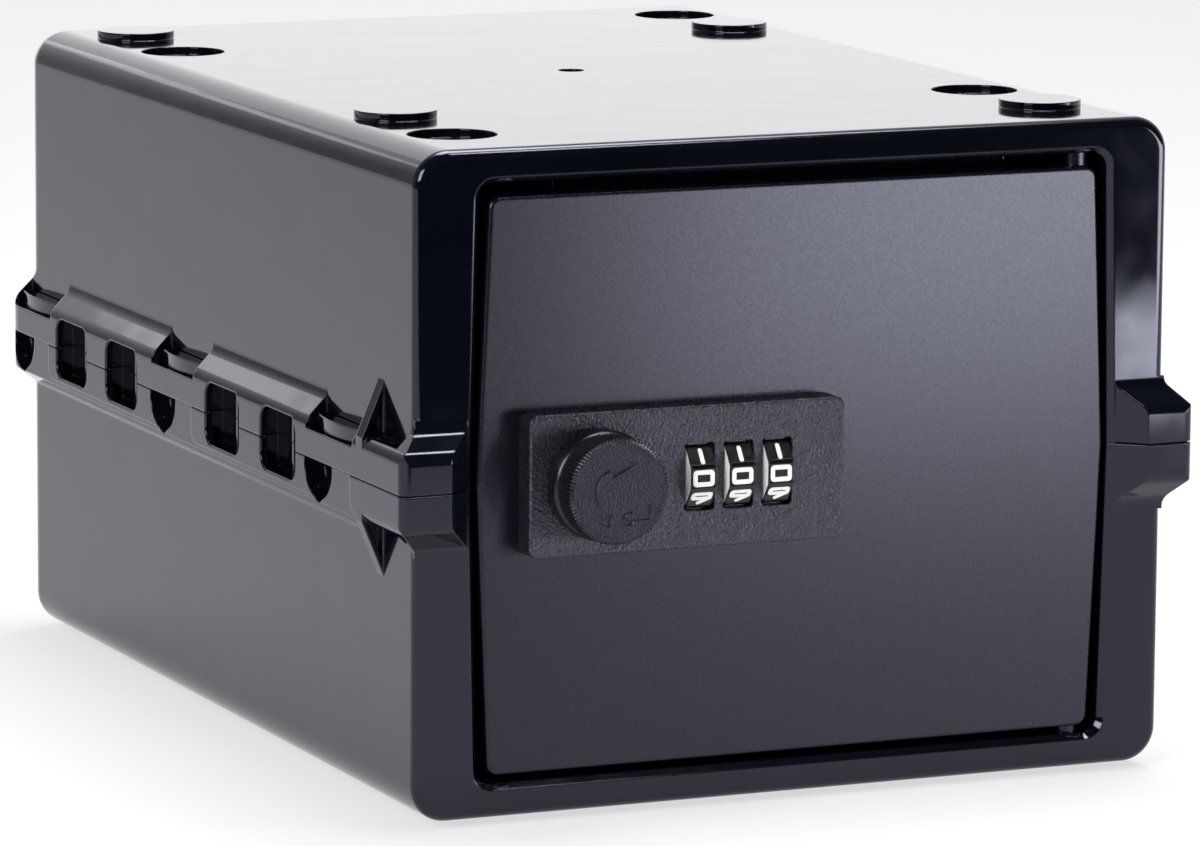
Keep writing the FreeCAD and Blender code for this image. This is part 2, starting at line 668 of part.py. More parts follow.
def shell_hooks(body):
    # Right side and the right of the back: arms that reach past the parting plane, with a bowed head.
    arm_in = half_width + d.hook_gap
    arm_out = arm_in + d.hook_thick
    drop = d.lip_height + d.hook_play + d.head_height
    half = d.hook_width / 2
    arms = sketch_on(body, "HookArms", "XY_Plane", z=d.band_roof)
    for y in hook_rows():
        rectangle(arms, arm_in, arm_out, y - half, y + half)
    back_in = back + d.hook_gap
    rectangle(arms, d.back_hook - half, d.back_hook + half, back_in, back_in + d.hook_thick)
    pad(body, "HookArmPads", arms, drop + d.band_roof, reverse=True)
    bow = d.band_proud - d.band_skin + d.hook_bite - d.hook_gap - d.hook_thick
    heads = sketch_on(body, "HookHeads", "XY_Plane", z=-drop)
    for y in hook_rows():
        bowed(heads, arm_out, y, bow, False)
    bowed(heads, back_in + d.hook_thick, d.back_hook, bow, True)
    pad(body, "HookHeadPads", heads, d.head_height)


def bowed(sketch, line, middle, bow, across):
    # A flat back as long as the hook, closed by an arc that bows out by the given amount.
    half = number(d.hook_width) / 2
    base, at, rise = number(line), number(middle), number(bow)

    def point(out, along):
        return FreeCAD.Vector(along, out, 0) if across else FreeCAD.Vector(out, along, 0)

    back = sketch.addGeometry(Part.LineSegment(point(base, at - half), point(base, at + half)))
    arc = sketch.addGeometry(Part.Arc(point(base, at + half), point(base + rise, at), point(base, at - half)))
    radius = (d.hook_width * d.hook_width / 4 + bow * bow) / (bow * 2)
    low, high = middle - d.hook_width / 2, middle + d.hook_width / 2
    for end, along in ((1, low), (2, high)):
        if across:
            pin_point(sketch, back, end, along, line)
        else:
            pin_point(sketch, back, end, line, along)
    sketch.addConstraint(arc_joint(sketch, arc, back, point(base, at + half)))
    sketch.addConstraint(arc_joint(sketch, arc, back, point(base, at - half)))
    constrain(sketch, Sketcher.Constraint("Radius", arc, number(radius)), radius)


def arc_joint(sketch, arc, line, corner):
    arc_end = 1 if sketch.getPoint(arc, 1).distanceToPoint(corner) < 0.001 else 2
    line_end = 1 if sketch.getPoint(line, 1).distanceToPoint(corner) < 0.001 else 2
    return Sketcher.Constraint("Coincident", arc, arc_end, line, line_end)


def shell_panels(body):
    # Right side: the band stands back round the hooks and over the panels between them.
    strip_end = front + d.fin_setback + d.fin_thick
    top = d.hook_slope
    for i, y in enumerate(hook_rows()):
        rear, edge = y + d.relief_offset, y - d.panel_lead
        step = sketch_on(body, f"PanelStep{i + 1}", "YZ_Plane", z=band_half)
        outline(step, [
            (rear, 0), (rear, top), (strip_end, top), (strip_end, d.panel_height),
            (edge, d.panel_height, d.panel_corner), (edge, 0)])
        pocket(body, f"PanelStepCut{i + 1}", step, d.panel_step)
        strip_end = rear


def shell_reliefs(body):
    # Right side: a pointed relief beside each hook's root, so that the hook can flex.
    reliefs = sketch_on(body, "Reliefs", "YZ_Plane", z=band_half)
    half = d.relief_width / 2
    for y in hook_rows():
        middle = y + d.relief_offset
        outline(reliefs, [
            (middle - half, 0), (middle + half, 0), (middle + half, d.relief_side, d.relief_radius),
            (middle, d.relief_tip), (middle - half, d.relief_side, d.relief_radius)])
    pocket(body, "ReliefCuts", reliefs, d.relief_depth)


def shell_gaps(body):
    # Right side: the panels and the front ear stop short of the parting plane, which leaves a dark line.
    ear_front = front - d.band_proud
    mouth = d.opening_middle / 2 + d.opening_bevel
    inner, outer = band_half - d.gap_depth, band_half + d.wall
    gaps = sketch_on(body, "PanelGaps", "XY_Plane")
    rows = hook_rows()
    outline(gaps, [
        (inner, rows[0] - d.panel_lead), (outer, rows[0] - d.panel_lead), (outer, ear_front - d.wall),
        (mouth - d.wall, ear_front - d.wall), (mouth - d.wall, front), (mouth + d.gap_depth * 1.5, front),
        (mouth + d.ear_flare + d.gap_depth * 0.7, ear_front + d.gap_depth), (inner, ear_front + d.gap_depth)])
    for ahead, y in zip(rows, rows[1:]):
        rectangle(gaps, inner, outer, ahead + d.relief_offset, y - d.panel_lead)
    pocket(body, "PanelGapCuts", gaps, d.panel_gap, reverse=True)


def shell_fins(body):
    fin_front = front + d.fin_setback
    for side, word in ((-1, "Left"), (1, "Right")):
        fin = sketch_on(body, f"{word}Fin", "XZ_Plane", z=-fin_front)
        inner = (half_width - d.wall / 2) * side
        outline(fin, [
            (inner, 0), (band_half * side, 0), (band_half * side, d.shelf_height),
            (half_width * side, d.fin_rise), (inner, d.fin_rise)])
        pad(body, f"{word}FinPad", fin, d.fin_thick, reverse=True)
        hollow = sketch_on(body, f"{word}FinHollow", "XZ_Plane", z=-fin_front)
        root, base = (half_width + d.fin_rim / 3) * side, d.shelf_height + d.fin_rim
        outline(hollow, [
            (root, base), ((band_half - d.fin_rim * 1.5) * side, base), (root, d.fin_rise - d.fin_rim * 4)])
        pocket(body, f"{word}FinHollowCut", hollow, d.fin_hollow)
    drains = sketch_on(body, "Drains", "XY_Plane", z=d.shelf_height)
    for side in (-1, 1):
        x = (half_width + d.band_proud / 2) * side
        y = fin_front - d.drain_length / 2 - d.drain_width / 2
        rectangle(drains, x - d.drain_width / 2, x + d.drain_width / 2,
                  y - d.drain_length / 2, y + d.drain_length / 2, d.drain_width * 0.4)
    pocket(body, "DrainCuts", drains, d.shelf_height / 2)


def make_shell(label):
    body = new_body(label)
    shell_walls(body)
    shell_opening(body)
    shell_band(body)
    shell_ears(body)
    shell_fins(body)
    shell_hinge_and_stops(body)
    shell_flat(body)
    shell_windows(body)
    shell_panels(body)
    shell_pockets(body)
    shell_hooks(body)
    shell_reliefs(body)
    shell_gaps(body)
    return body


# Door. Its own frame has the door face at y = 0 and the parting plane at z = 0.

def make_door():
    body = new_body("door_panel")
    end, middle = d.door_end / 2, d.door_middle / 2
    face = sketch_on(body, "DoorOutline", "XZ_Plane")
    outline(face, [
        (-end, -d.door_bottom, d.door_corner), (end, -d.door_bottom, d.door_corner), (middle, 0),
        (end, d.door_top, d.door_corner), (-end, d.door_top, d.door_corner), (-middle, 0)])
    pad(body, "DoorBlock", face, d.door_depth, reverse=True)
    fillet(body, "DoorEdges", d.door_edge, lambda edge: all(near(point.y, 0) for point in ends(edge)))
    tray = sketch_on(body, "DoorTray", "XZ_Plane", z=-d.door_skin)
    inner_end, inner_middle = end - d.door_rim, middle - d.door_rim
    low, high = d.door_rim - d.door_bottom, d.door_top - d.door_rim
    block = end - d.knuckle_width
    outline(tray, [
        (-inner_end, low, d.door_rim), (block, low), (block, low + d.knuckle_height),
        (inner_end, low + d.knuckle_height), (inner_middle, 0), (inner_end, high - d.knuckle_height),
        (block, high - d.knuckle_height), (block, high), (-inner_end, high, d.door_rim), (-inner_middle, 0)])
    pocket(body, "DoorTrayCut", tray, d.door_depth - d.door_skin)
    door_ribs(body, low, high, (inner_end + inner_middle + d.door_rim) / 2)
    cutout = sketch_on(body, "LockCutout", "XZ_Plane")
    half_x, half_z = d.well_width / 2 + d.fit_gap, d.well_height / 2 + d.fit_gap
    rectangle(cutout, d.lock_x - half_x, d.lock_x + half_x, -half_z, half_z)
    for side in (-1, 1):
        circle(cutout, d.lock_x + d.tie_x * side, 0, d.tie_radius + d.screw_gap)
    pocket(body, "LockCutoutCut", cutout, d.door_skin)
    for start, down, word in ((high, False, "Top"), (low, True, "Bottom")):
        pin = sketch_on(body, f"{word}Pin", "XY_Plane", z=start)
        circle(pin, d.hinge_x, d.hinge_y - d.door_recess, d.pin_radius)
        reach = d.boss_end + d.pin_reach
        pad(body, f"{word}PinPad", pin, reach + start if down else reach - start, reverse=down)
    return place(body, 0, door_face, parting_z)


def door_ribs(body, low, high, half_length):
    upright = sketch_on(body, "UprightRib", "XZ_Plane", z=-d.door_skin / 2)
    half = d.rib_thick / 2
    rectangle(upright, d.rib_x - half, d.rib_x + half, low - d.door_rim / 2, high + d.door_rim / 2)
    pad(body, "UprightRibPad", upright, d.door_skin / 2 + d.rib_depth, reverse=True)
    level = sketch_on(body, "LevelRibs", "XZ_Plane", z=-d.door_skin / 2)
    for side in (-1, 1):
        rectangle(level, -half_length, half_length, d.rib_z * side - half, d.rib_z * side + half)
    pad(body, "LevelRibPads", level, d.door_skin / 2 + d.rib_depth, reverse=True)


# Lock. Its pieces share a frame with the door face at y = 0, the front at negative y, centred on the lock.

def on_lock(thing, x=0, y=0, rotation=None):
    return place(thing, d.lock_x + x, door_face + y, parting_z, rotation)


def make_bezel():
    body = new_body("lock_bezel")
    half_x, half_z = d.plate_width / 2, d.plate_height / 2
    plate = sketch_on(body, "Plate", "XZ_Plane", z=d.plate_depth)
    rectangle(plate, -half_x, half_x, -half_z, half_z, d.plate_radius)
    pad(body, "PlatePad", plate, d.plate_depth, reverse=True)
    fillet(body, "PlateEdges", d.plate_edge,
           lambda edge: all(near(point.y, -d.plate_depth) for point in ends(edge)))
    well = sketch_on(body, "Well", "XZ_Plane")
    rectangle(well, -d.well_width / 2, d.well_width / 2, -d.well_height / 2, d.well_height / 2)
    pocket(body, "WellCut", well, d.plate_depth - d.plate_wall, reverse=True)
    posts = sketch_on(body, "Posts", "XZ_Plane", z=d.plate_depth - d.plate_wall / 2)
    pilots = sketch_on(body, "Pilots", "XZ_Plane", z=d.cover_lip)
    for side in (-1, 1):
        circle(posts, d.post_x * side, d.post_z, d.post_radius)
        circle(pilots, d.post_x * side, d.post_z, d.cover_screw_radius + d.pin_play)
    pad(body, "PostPads", posts, d.plate_depth - d.plate_wall / 2 - d.cover_lip, reverse=True)
    pocket(body, "PilotCuts", pilots, d.plate_depth - d.plate_wall - d.cover_lip, reverse=True)
    slots = sketch_on(body, "DialSlots", "XZ_Plane", z=d.plate_depth)
    for x in dials_x:
        rectangle(slots, x - d.slot_width / 2, x + d.slot_width / 2, -d.slot_height / 2, d.slot_height / 2,
                  d.slot_radius)
    circle(slots, d.knob_x, 0, d.bush_radius + d.pin_play)
    pocket(body, "DialSlotCuts", slots, d.plate_wall)
    ties = sketch_on(body, "TieHoles", "XZ_Plane")
    for side in (-1, 1):
        circle(ties, d.tie_x * side, 0, d.tie_radius + d.pin_play)
    pocket(body, "TieHoleCuts", ties, d.tie_reach + d.fit_gap, reverse=True)
    return on_lock(body)


def make_cover():
    body = new_body("lock_rear_cover")
    half_x, half_z = d.well_width / 2 - d.fit_gap, d.well_height / 2 - d.fit_gap
    block = sketch_on(body, "CoverBlock", "XZ_Plane", z=d.cover_lip)
    rectangle(block, -half_x, half_x, -half_z, half_z)
    pad(body, "CoverBlockPad", block, d.cover_lip + d.cover_depth, reverse=True)
    tray = sketch_on(body, "CoverTray", "XZ_Plane", z=d.cover_lip)
    in_x, in_z = half_x - d.cover_wall, half_z - d.cover_wall
    rectangle(tray, -in_x, in_x, -in_z, in_z)
    pocket(body, "CoverTrayCut", tray, d.cover_lip + cover_inner)
    behind = -(cover_inner + d.cover_wall / 2)
    posts = sketch_on(body, "CoverPosts", "XZ_Plane", z=behind)
    for side in (-1, 1):
        circle(posts, d.post_x * side, d.post_z, d.post_radius)
    pad(body, "CoverPostPads", posts, d.cover_lip - behind)
    supports = sketch_on(body, "AxleSupports", "XZ_Plane", z=behind)
    for left in (support_left, support_right - d.support_thick):
        rectangle(supports, left, left + d.support_thick, -d.axle_radius * 2, d.axle_radius * 2)
    pad(body, "AxleSupportPads", supports, -behind - dial_y + d.axle_radius * 1.6)
    bore = sketch_on(body, "AxleBore", "YZ_Plane", z=support_left)
    circle(bore, dial_y, 0, d.axle_radius + d.pin_play)
    pocket(body, "AxleBoreCut", bore, support_right - support_left, reverse=True)
    holes = sketch_on(body, "CoverHoles", "XZ_Plane", z=-d.cover_depth)
    for side in (-1, 1):
        circle(holes, d.post_x * side, d.post_z, d.cover_screw_radius + d.screw_gap)
    pocket(body, "CoverHoleCuts", holes, d.cover_depth + d.cover_lip, reverse=True)
    rear = sketch_on(body, "RearCuts", "XZ_Plane", z=-d.cover_depth)
    circle(rear, d.knob_x, 0, d.spindle_radius + d.pin_play)
    stem_x, stem_z = d.reset_stem / 2 + d.fit_gap, d.stem_height / 2 + d.fit_gap
    rectangle(rear, d.reset_x - stem_x, d.reset_x + stem_x + d.reset_travel,
              d.reset_z - stem_z, d.reset_z + stem_z)
    pocket(body, "RearCutCuts", rear, d.cover_wall, reverse=True)
    return on_lock(body)


def make_bracket():
    body = new_body("retaining_plate")
    half_x, half_z = d.bracket_width / 2, d.bracket_height / 2
    sheet_metal = sketch_on(body, "Bracket", "XZ_Plane", z=-d.door_skin)
    rectangle(sheet_metal, -half_x, half_x, -half_z, half_z, d.plate_radius)
    in_x, in_z = d.well_width / 2 + d.fit_gap, d.well_height / 2 + d.fit_gap
    rectangle(sheet_metal, -in_x, in_x, -in_z, in_z)
    for side in (-1, 1):
        circle(sheet_metal, d.tie_x * side, 0, d.tie_radius + d.screw_gap)
    pad(body, "BracketPad", sheet_metal, d.bracket_thick, reverse=True)
    return on_lock(body)


ALONG_X = FreeCAD.Rotation(FreeCAD.Vector(0, 1, 0), 90)
ALONG_Y = FreeCAD.Rotation(FreeCAD.Vector(1, 0, 0), -90)


def rod(name, radius, length, x, y, z, rotation=ALONG_Y):
    cylinder = doc.addObject("Part::Cylinder", name)
    bind(cylinder, Radius=radius, Height=length)
    return place(cylinder, x, y, z, rotation)


def slotted_screw(name, x, z, seat, head_radius, head, radius, reach):
    # The head stands behind its seat and the shank runs forward from it.
    fused = doc.addObject("Part::MultiFuse", f"{name}_blank")
    fused.Shapes = [
        rod(f"{name}_head", head_radius, head, x, seat, z),
        rod(f"{name}_shank", radius, reach, x, seat - reach, z)]
    slot = doc.addObject("Part::Box", f"{name}_slot")
    bind(slot, Length=head_radius * 2, Width=head / 2, Height=head_radius / 3)
    place(slot, -head_radius + x, seat + head / 2, -head_radius / 6 + z)
    screw = doc.addObject("Part::Cut", name)
    screw.Base = fused
    screw.Tool = slot
    return screw


def screw_pair(label, x, z, seat, head_radius, head, radius, reach):
    pair = doc.addObject("Part::Compound", label)
    pair.Links = [
        slotted_screw(f"{label}_{word}", x * side, z, seat, head_radius, head, radius, reach)
        for side, word in ((-1, "left"), (1, "right"))]
    return on_lock(pair)


# Knob, spindle and cam share the spindle axis.

def disc(body, name, radius, start, length, bore=None):
    # A round pad about the spindle axis from one depth to the next, with an optional bore.
    profile = sketch_on(body, name, "XZ_Plane", z=-start)
    circle(profile, 0, 0, radius)
    if bore is not None:
        circle(profile, 0, 0, bore)
    return pad(body, f"{name}Pad", profile, length, reverse=True)


knob_back = -(d.plate_depth + d.collar_height + d.turn_gap)
plate_inner = d.plate_wall - d.plate_depth


def make_knob():
    body = new_body("knob")
    length = d.knob_reach - d.collar_height - d.turn_gap
    disc(body, "Grip", d.knob_radius, knob_back - length, length)
    chamfer(body, "GripEdge", d.knob_bevel,
            lambda edge: all(near(point.y, knob_back - length) for point in ends(edge)))
    groove = sketch_on(body, "Knurl", "XZ_Plane", z=length - knob_back)
    half = d.knob_radius * math.pi / d.knurl_count
    outline(groove, [
        (-half, d.knob_radius + d.knurl_depth / 4), (0, d.knob_radius - d.knurl_depth),
        (half, d.knob_radius + d.knurl_depth / 4)])
    cut = pocket(body, "KnurlCut", groove, length)
    ring = body.newObject("PartDesign::PolarPattern", "Knurls")
    ring.Originals = [cut]
    axis = next(part for part in body.Origin.OriginFeatures if part.Role == "Y_Axis")
    ring.Axis = (axis, [""])
    ring.Angle = 360
    bind(ring, Occurrences=d.knurl_count)
    body.Tip = ring
    doc.recompute()
    bore = sketch_on(body, "KnobBore", "XZ_Plane", z=-knob_back)
    circle(bore, 0, 0, d.spindle_radius + d.pin_play)
    pocket(body, "KnobBoreCut", bore, d.spindle_socket, reverse=True)
    return on_lock(body, d.knob_x)


def make_collar():
    body = new_body("knob_collar")
    start = -(d.plate_depth + d.collar_height)
    disc(body, "Ring", d.collar_radius, start, d.collar_height, d.bush_radius + d.pin_play)
    fillet(body, "RingEdge", d.collar_edge, lambda edge: near(edge.Curve.Radius, d.collar_radius)
           and near(edge.Vertexes[0].Y, start) if hasattr(edge.Curve, "Radius") else False)
    return on_lock(body, d.knob_x)


def make_bush():
    body = new_body("spindle_bush")
    start = -(d.plate_depth + d.collar_height)
    disc(body, "Bush", d.bush_radius, start, plate_inner - start, d.spindle_radius + d.pin_play)
    return on_lock(body, d.knob_x)


def make_spindle():
    body = new_body("spindle")
    start = knob_back - d.spindle_socket + d.fit_gap / 2
    disc(body, "Shaft", d.spindle_radius, start, cam_front - start)
    disc(body, "Flange", d.flange_radius, plate_inner + d.fit_gap / 2, d.flange_thick)
    eccentric = sketch_on(body, "Eccentric", "XZ_Plane", z=d.fit_gap - d.slide_y)
    circle(eccentric, throw, throw, d.eccentric_radius)
    pad(body, "EccentricPad", eccentric, d.slide_thick + d.fit_gap * 2, reverse=True)
    tail = sketch_on(body, "Square", "XZ_Plane", z=-cam_front)
    half = d.square / 2
    rectangle(tail, -half, half, -half, half)
    pad(body, "SquarePad", tail, d.cam_thick - d.fit_gap / 2, reverse=True)
    tapped = sketch_on(body, "TappedHole", "XZ_Plane", z=-(cam_front + d.cam_thick - d.fit_gap / 2))
    circle(tapped, 0, 0, d.cam_screw_radius + d.pin_play)
    pocket(body, "TappedHoleCut", tapped, d.cam_screw_length, reverse=True)
    return on_lock(body, d.knob_x)


def make_cam():
    body = new_body("cam")
    disc(body, "Hub", d.cam_hub, cam_front, d.cam_thick)
    tongue = sketch_on(body, "Tongue", "XZ_Plane", z=-cam_front)
    half = d.cam_width / 2
    outline(tongue, [
        (-half, 0), (half, 0), (half, d.cam_length, d.cam_width / 4), (-half, d.cam_length, d.cam_width / 4)])
    pad(body, "TonguePad", tongue, d.cam_thick, reverse=True)
    hole = sketch_on(body, "SquareHole", "XZ_Plane", z=-cam_front)
    half = d.square / 2 + d.pin_play
    rectangle(hole, -half, half, -half, half)
    pocket(body, "SquareHoleCut", hole, d.cam_thick)
    return on_lock(body, d.knob_x)


def make_washer():
    body = new_body("cam_washer")
    start = d.cover_depth + d.pin_play
    disc(body, "Washer", d.washer_radius, start, cam_front - d.pin_play - start, d.spindle_radius + d.pin_play)
    return on_lock(body, d.knob_x)


# Dials. Each turns about an axis along x, with its own frame on that axis at the middle of the dial.

def ten_sided(sketch, radius):
    turns = [math.radians(18 + 36 * i) for i in range(10)]
    outline(sketch, [(radius * math.cos(turn), radius * math.sin(turn)) for turn in turns])


def on_axle(body, x):
    return on_lock(body, x, dial_y)


def make_dial(i, x):
    corner = math.cos(math.radians(18))
    ring = new_body(f"dial_wheel_{i}")
    ring_width = d.dial_width - d.fit_gap
    band = sketch_on(ring, "Band", "YZ_Plane", z=-ring_width / 2)
    ten_sided(band, d.dial_radius)
    ten_sided(band, d.dial_radius - d.ring_thick / corner)
    pad(ring, "BandPad", band, ring_width)
    core = new_body(f"dial_core_{i}")
    wheel = sketch_on(core, "Wheel", "YZ_Plane", z=-d.dial_width / 2)
    ten_sided(wheel, d.dial_radius - (d.ring_thick + d.pin_play) / corner)
    circle(wheel, 0, 0, d.sleeve_radius + d.pin_play)
    pad(core, "WheelPad", wheel, d.dial_width)
    return [on_axle(ring, x), on_axle(core, x), on_axle(make_sleeve(i), x)]


def make_sleeve(i):
    sleeve = new_body(f"code_sleeve_{i}")
    bore = d.axle_radius + d.pin_play
    tube = sketch_on(sleeve, "Tube", "YZ_Plane", z=-d.dial_width / 2)
    circle(tube, 0, 0, d.sleeve_radius)
    circle(tube, 0, 0, bore)
    pad(sleeve, "TubePad", tube, d.dial_pitch - d.fit_gap)
    flange = sketch_on(sleeve, "CodeFlange", "YZ_Plane", z=flange_x)
    circle(flange, 0, 0, d.code_radius)
    circle(flange, 0, 0, bore)
    pad(sleeve, "CodeFlangePad", flange, d.code_thick)
    notch = sketch_on(sleeve, "CodeNotch", "YZ_Plane", z=flange_x)
    half = d.prong_rise + d.notch_gap
    rectangle(notch, d.slide_y - d.tooth_reach - dial_y - d.fit_gap, d.code_radius * 1.1, -half, half)
    pocket(sleeve, "CodeNotchCut", notch, d.code_thick, reverse=True)
    return sleeve


def make_spring():
    body = new_body("detent_spring")
    low = d.fit_gap * 3 + d.cover_wall - d.well_height / 2
    top = low + d.strip_height
    half = d.finger_width / 2
    comb = [(dials_x[0] - d.finger_width, low), (dials_x[-1] + d.finger_width, low),
            (dials_x[-1] + d.finger_width, top)]
    for x in reversed(dials_x):
        comb += [(x + half, top), (x + half, top + d.finger_rise),
                 (x - half, top + d.finger_rise), (x - half, top)]
    comb.append((dials_x[0] - d.finger_width, top))
    leaf = sketch_on(body, "Leaf", "XZ_Plane", z=d.spring_thick - cover_inner)
    outline(leaf, comb)
    pad(body, "LeafPad", leaf, d.spring_thick, reverse=True)
    return on_lock(body)


def make_slide():
    # A bar with a toothed prong for each code flange and a fork round the eccentric.
    body = new_body("locking_slide")
    low = -d.bar_drop
    top = low + d.bar_height
    tip = d.prong_rise
    prong = flange_x + d.code_thick + d.prong_gap
    last = dials_x[-1] + prong + d.prong_thick
    fork = d.eccentric_radius + d.fit_gap
    left, right = d.knob_x + throw - fork, d.knob_x + throw + fork
    comb = [(left - d.slide_thick, low), (last, low)]
    for x in reversed(dials_x):
        comb += [(x + prong + d.prong_thick, tip), (x + prong, tip), (x + prong, top)]
        if x is not dials_x[0]:
            comb.append((x - d.dial_pitch + prong + d.prong_thick, top))
    comb += [(right + d.slide_thick, top), (right + d.slide_thick, d.eccentric_radius), (right, d.eccentric_radius),
             (right, top), (left, top), (left, d.eccentric_radius), (left - d.slide_thick, d.eccentric_radius)]
    profile = sketch_on(body, "SlideProfile", "XZ_Plane", z=-d.slide_y)
    outline(profile, comb)
    pad(body, "SlidePad", profile, d.slide_thick, reverse=True)
    teeth = sketch_on(body, "Teeth", "XZ_Plane", z=d.tooth_reach - d.slide_y)
    for x in dials_x:
        rectangle(teeth, x + prong, x + prong + d.prong_thick, -tip, tip)
    pad(body, "TeethPads", teeth, d.tooth_reach + d.slide_thick / 2, reverse=True)
    return on_lock(body)


def make_reset():
    body = new_body("reset_lever")
    rear = cover_inner - d.fit_gap
    outside = d.cover_depth + d.fit_gap

    def slab(name, half_x, half_z, start, stop):
        profile = sketch_on(body, name, "XZ_Plane", z=-start)
        rectangle(profile, d.reset_x - half_x, d.reset_x + half_x, d.reset_z - half_z, d.reset_z + half_z)
        pad(body, f"{name}Pad", profile, stop - start, reverse=True)

    slab("Block", d.reset_block / 2, d.reset_height / 2, rear - d.reset_depth, rear)
    slab("Stem", d.reset_stem / 2, d.stem_height / 2, rear - d.reset_depth / 2, outside)
    slab("Tab", d.reset_stem, d.reset_height / 2, outside, outside + d.reset_tab)
    return on_lock(body)


# Assembly

upper_shell = place(make_shell("upper_shell"), z=parting_z)
lower_shell = doc.addObject("Part::Compound", "lower_shell")
lower_shell.Links = [upper_shell]
place(lower_shell, z=parting_z * 2, rotation=FreeCAD.Rotation(FreeCAD.Vector(0, 1, 0), 180))

axle = doc.addObject("Part::Cylinder", "dial_axle")
bind(axle, Radius=d.axle_radius, Height=support_right - support_left)
on_lock(axle, support_left, dial_y, ALONG_X)

cam_screw = slotted_screw("cam_screw", 0, 0, cam_front + d.cam_thick, d.cam_head_radius, d.cam_head,
                          d.cam_screw_radius, d.cam_screw_length)
on_lock(cam_screw, d.knob_x)

nodes = [
    upper_shell, lower_shell, make_door(), make_bezel(), make_cover(), make_bracket(),
    screw_pair("rear_cover_screws", d.post_x, d.post_z, d.cover_depth, d.cover_head_radius, d.cover_head,
               d.cover_screw_radius, d.cover_depth + d.cover_lip * 3),
    screw_pair("fixing_screws", d.tie_x, 0, d.door_skin + d.bracket_thick, d.tie_head_radius, d.tie_head,
               d.tie_radius, d.door_skin + d.bracket_thick + d.tie_reach),
    make_knob(), make_collar(), make_bush(), make_spindle(), make_cam(), make_washer(), cam_screw,
    axle, make_spring(), make_slide(), make_reset(),
]
for i, x in enumerate(dials_x, start=1):
    nodes += make_dial(i, x)

doc.recompute()
for thing in doc.Objects:
    if "Invalid" in thing.State or "Error" in thing.State:
        raise RuntimeError(f"{thing.Label} did not build")

os.makedirs("parts", exist_ok=True)
for thing in nodes:
    if thing.Shape.isNull() or not thing.Shape.isValid():
        raise RuntimeError(f"{thing.Label} has no sound shape")
    thing.Shape.exportStep(f"parts/{thing.Label}.step")
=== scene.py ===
import bpy
import math
from mathutils import Matrix, Vector


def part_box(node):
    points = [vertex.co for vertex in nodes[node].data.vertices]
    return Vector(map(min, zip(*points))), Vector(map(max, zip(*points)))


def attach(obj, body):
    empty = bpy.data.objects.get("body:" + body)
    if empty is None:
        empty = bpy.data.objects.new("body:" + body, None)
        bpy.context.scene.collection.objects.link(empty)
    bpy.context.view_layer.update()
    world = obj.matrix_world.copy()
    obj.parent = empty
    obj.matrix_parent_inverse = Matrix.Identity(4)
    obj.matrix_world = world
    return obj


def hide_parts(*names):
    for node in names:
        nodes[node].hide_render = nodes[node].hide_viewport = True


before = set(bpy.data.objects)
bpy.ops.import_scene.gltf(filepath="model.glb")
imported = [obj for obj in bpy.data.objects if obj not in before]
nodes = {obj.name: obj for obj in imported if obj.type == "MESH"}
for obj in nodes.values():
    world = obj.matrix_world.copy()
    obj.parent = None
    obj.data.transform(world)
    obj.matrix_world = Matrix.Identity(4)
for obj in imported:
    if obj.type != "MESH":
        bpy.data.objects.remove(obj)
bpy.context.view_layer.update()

mm = 0.001
print("frame loaded:", len(nodes), "nodes")


# colour, node and material helpers

def srgb(hexText):
    parts = [int(hexText[i:i + 2], 16) / 255 for i in (1, 3, 5)]
    return [p / 12.92 if p <= 0.04045 else ((p + 0.055) / 1.055) ** 2.4 for p in parts] + [1]


def addNode(tree, kind, links=None, sockets=None, **settings):
    node = tree.nodes.new(kind)
    for name, value in settings.items():
        setattr(node, name, value)
    for socket, value in (sockets or {}).items():
        node.inputs[socket].default_value = value
    for socket, source in (links or {}).items():
        tree.links.new(source, node.inputs[socket])
    return node


noiseSpan = (0.3, 0.7)  # where nearly all of a noise texture's values lie


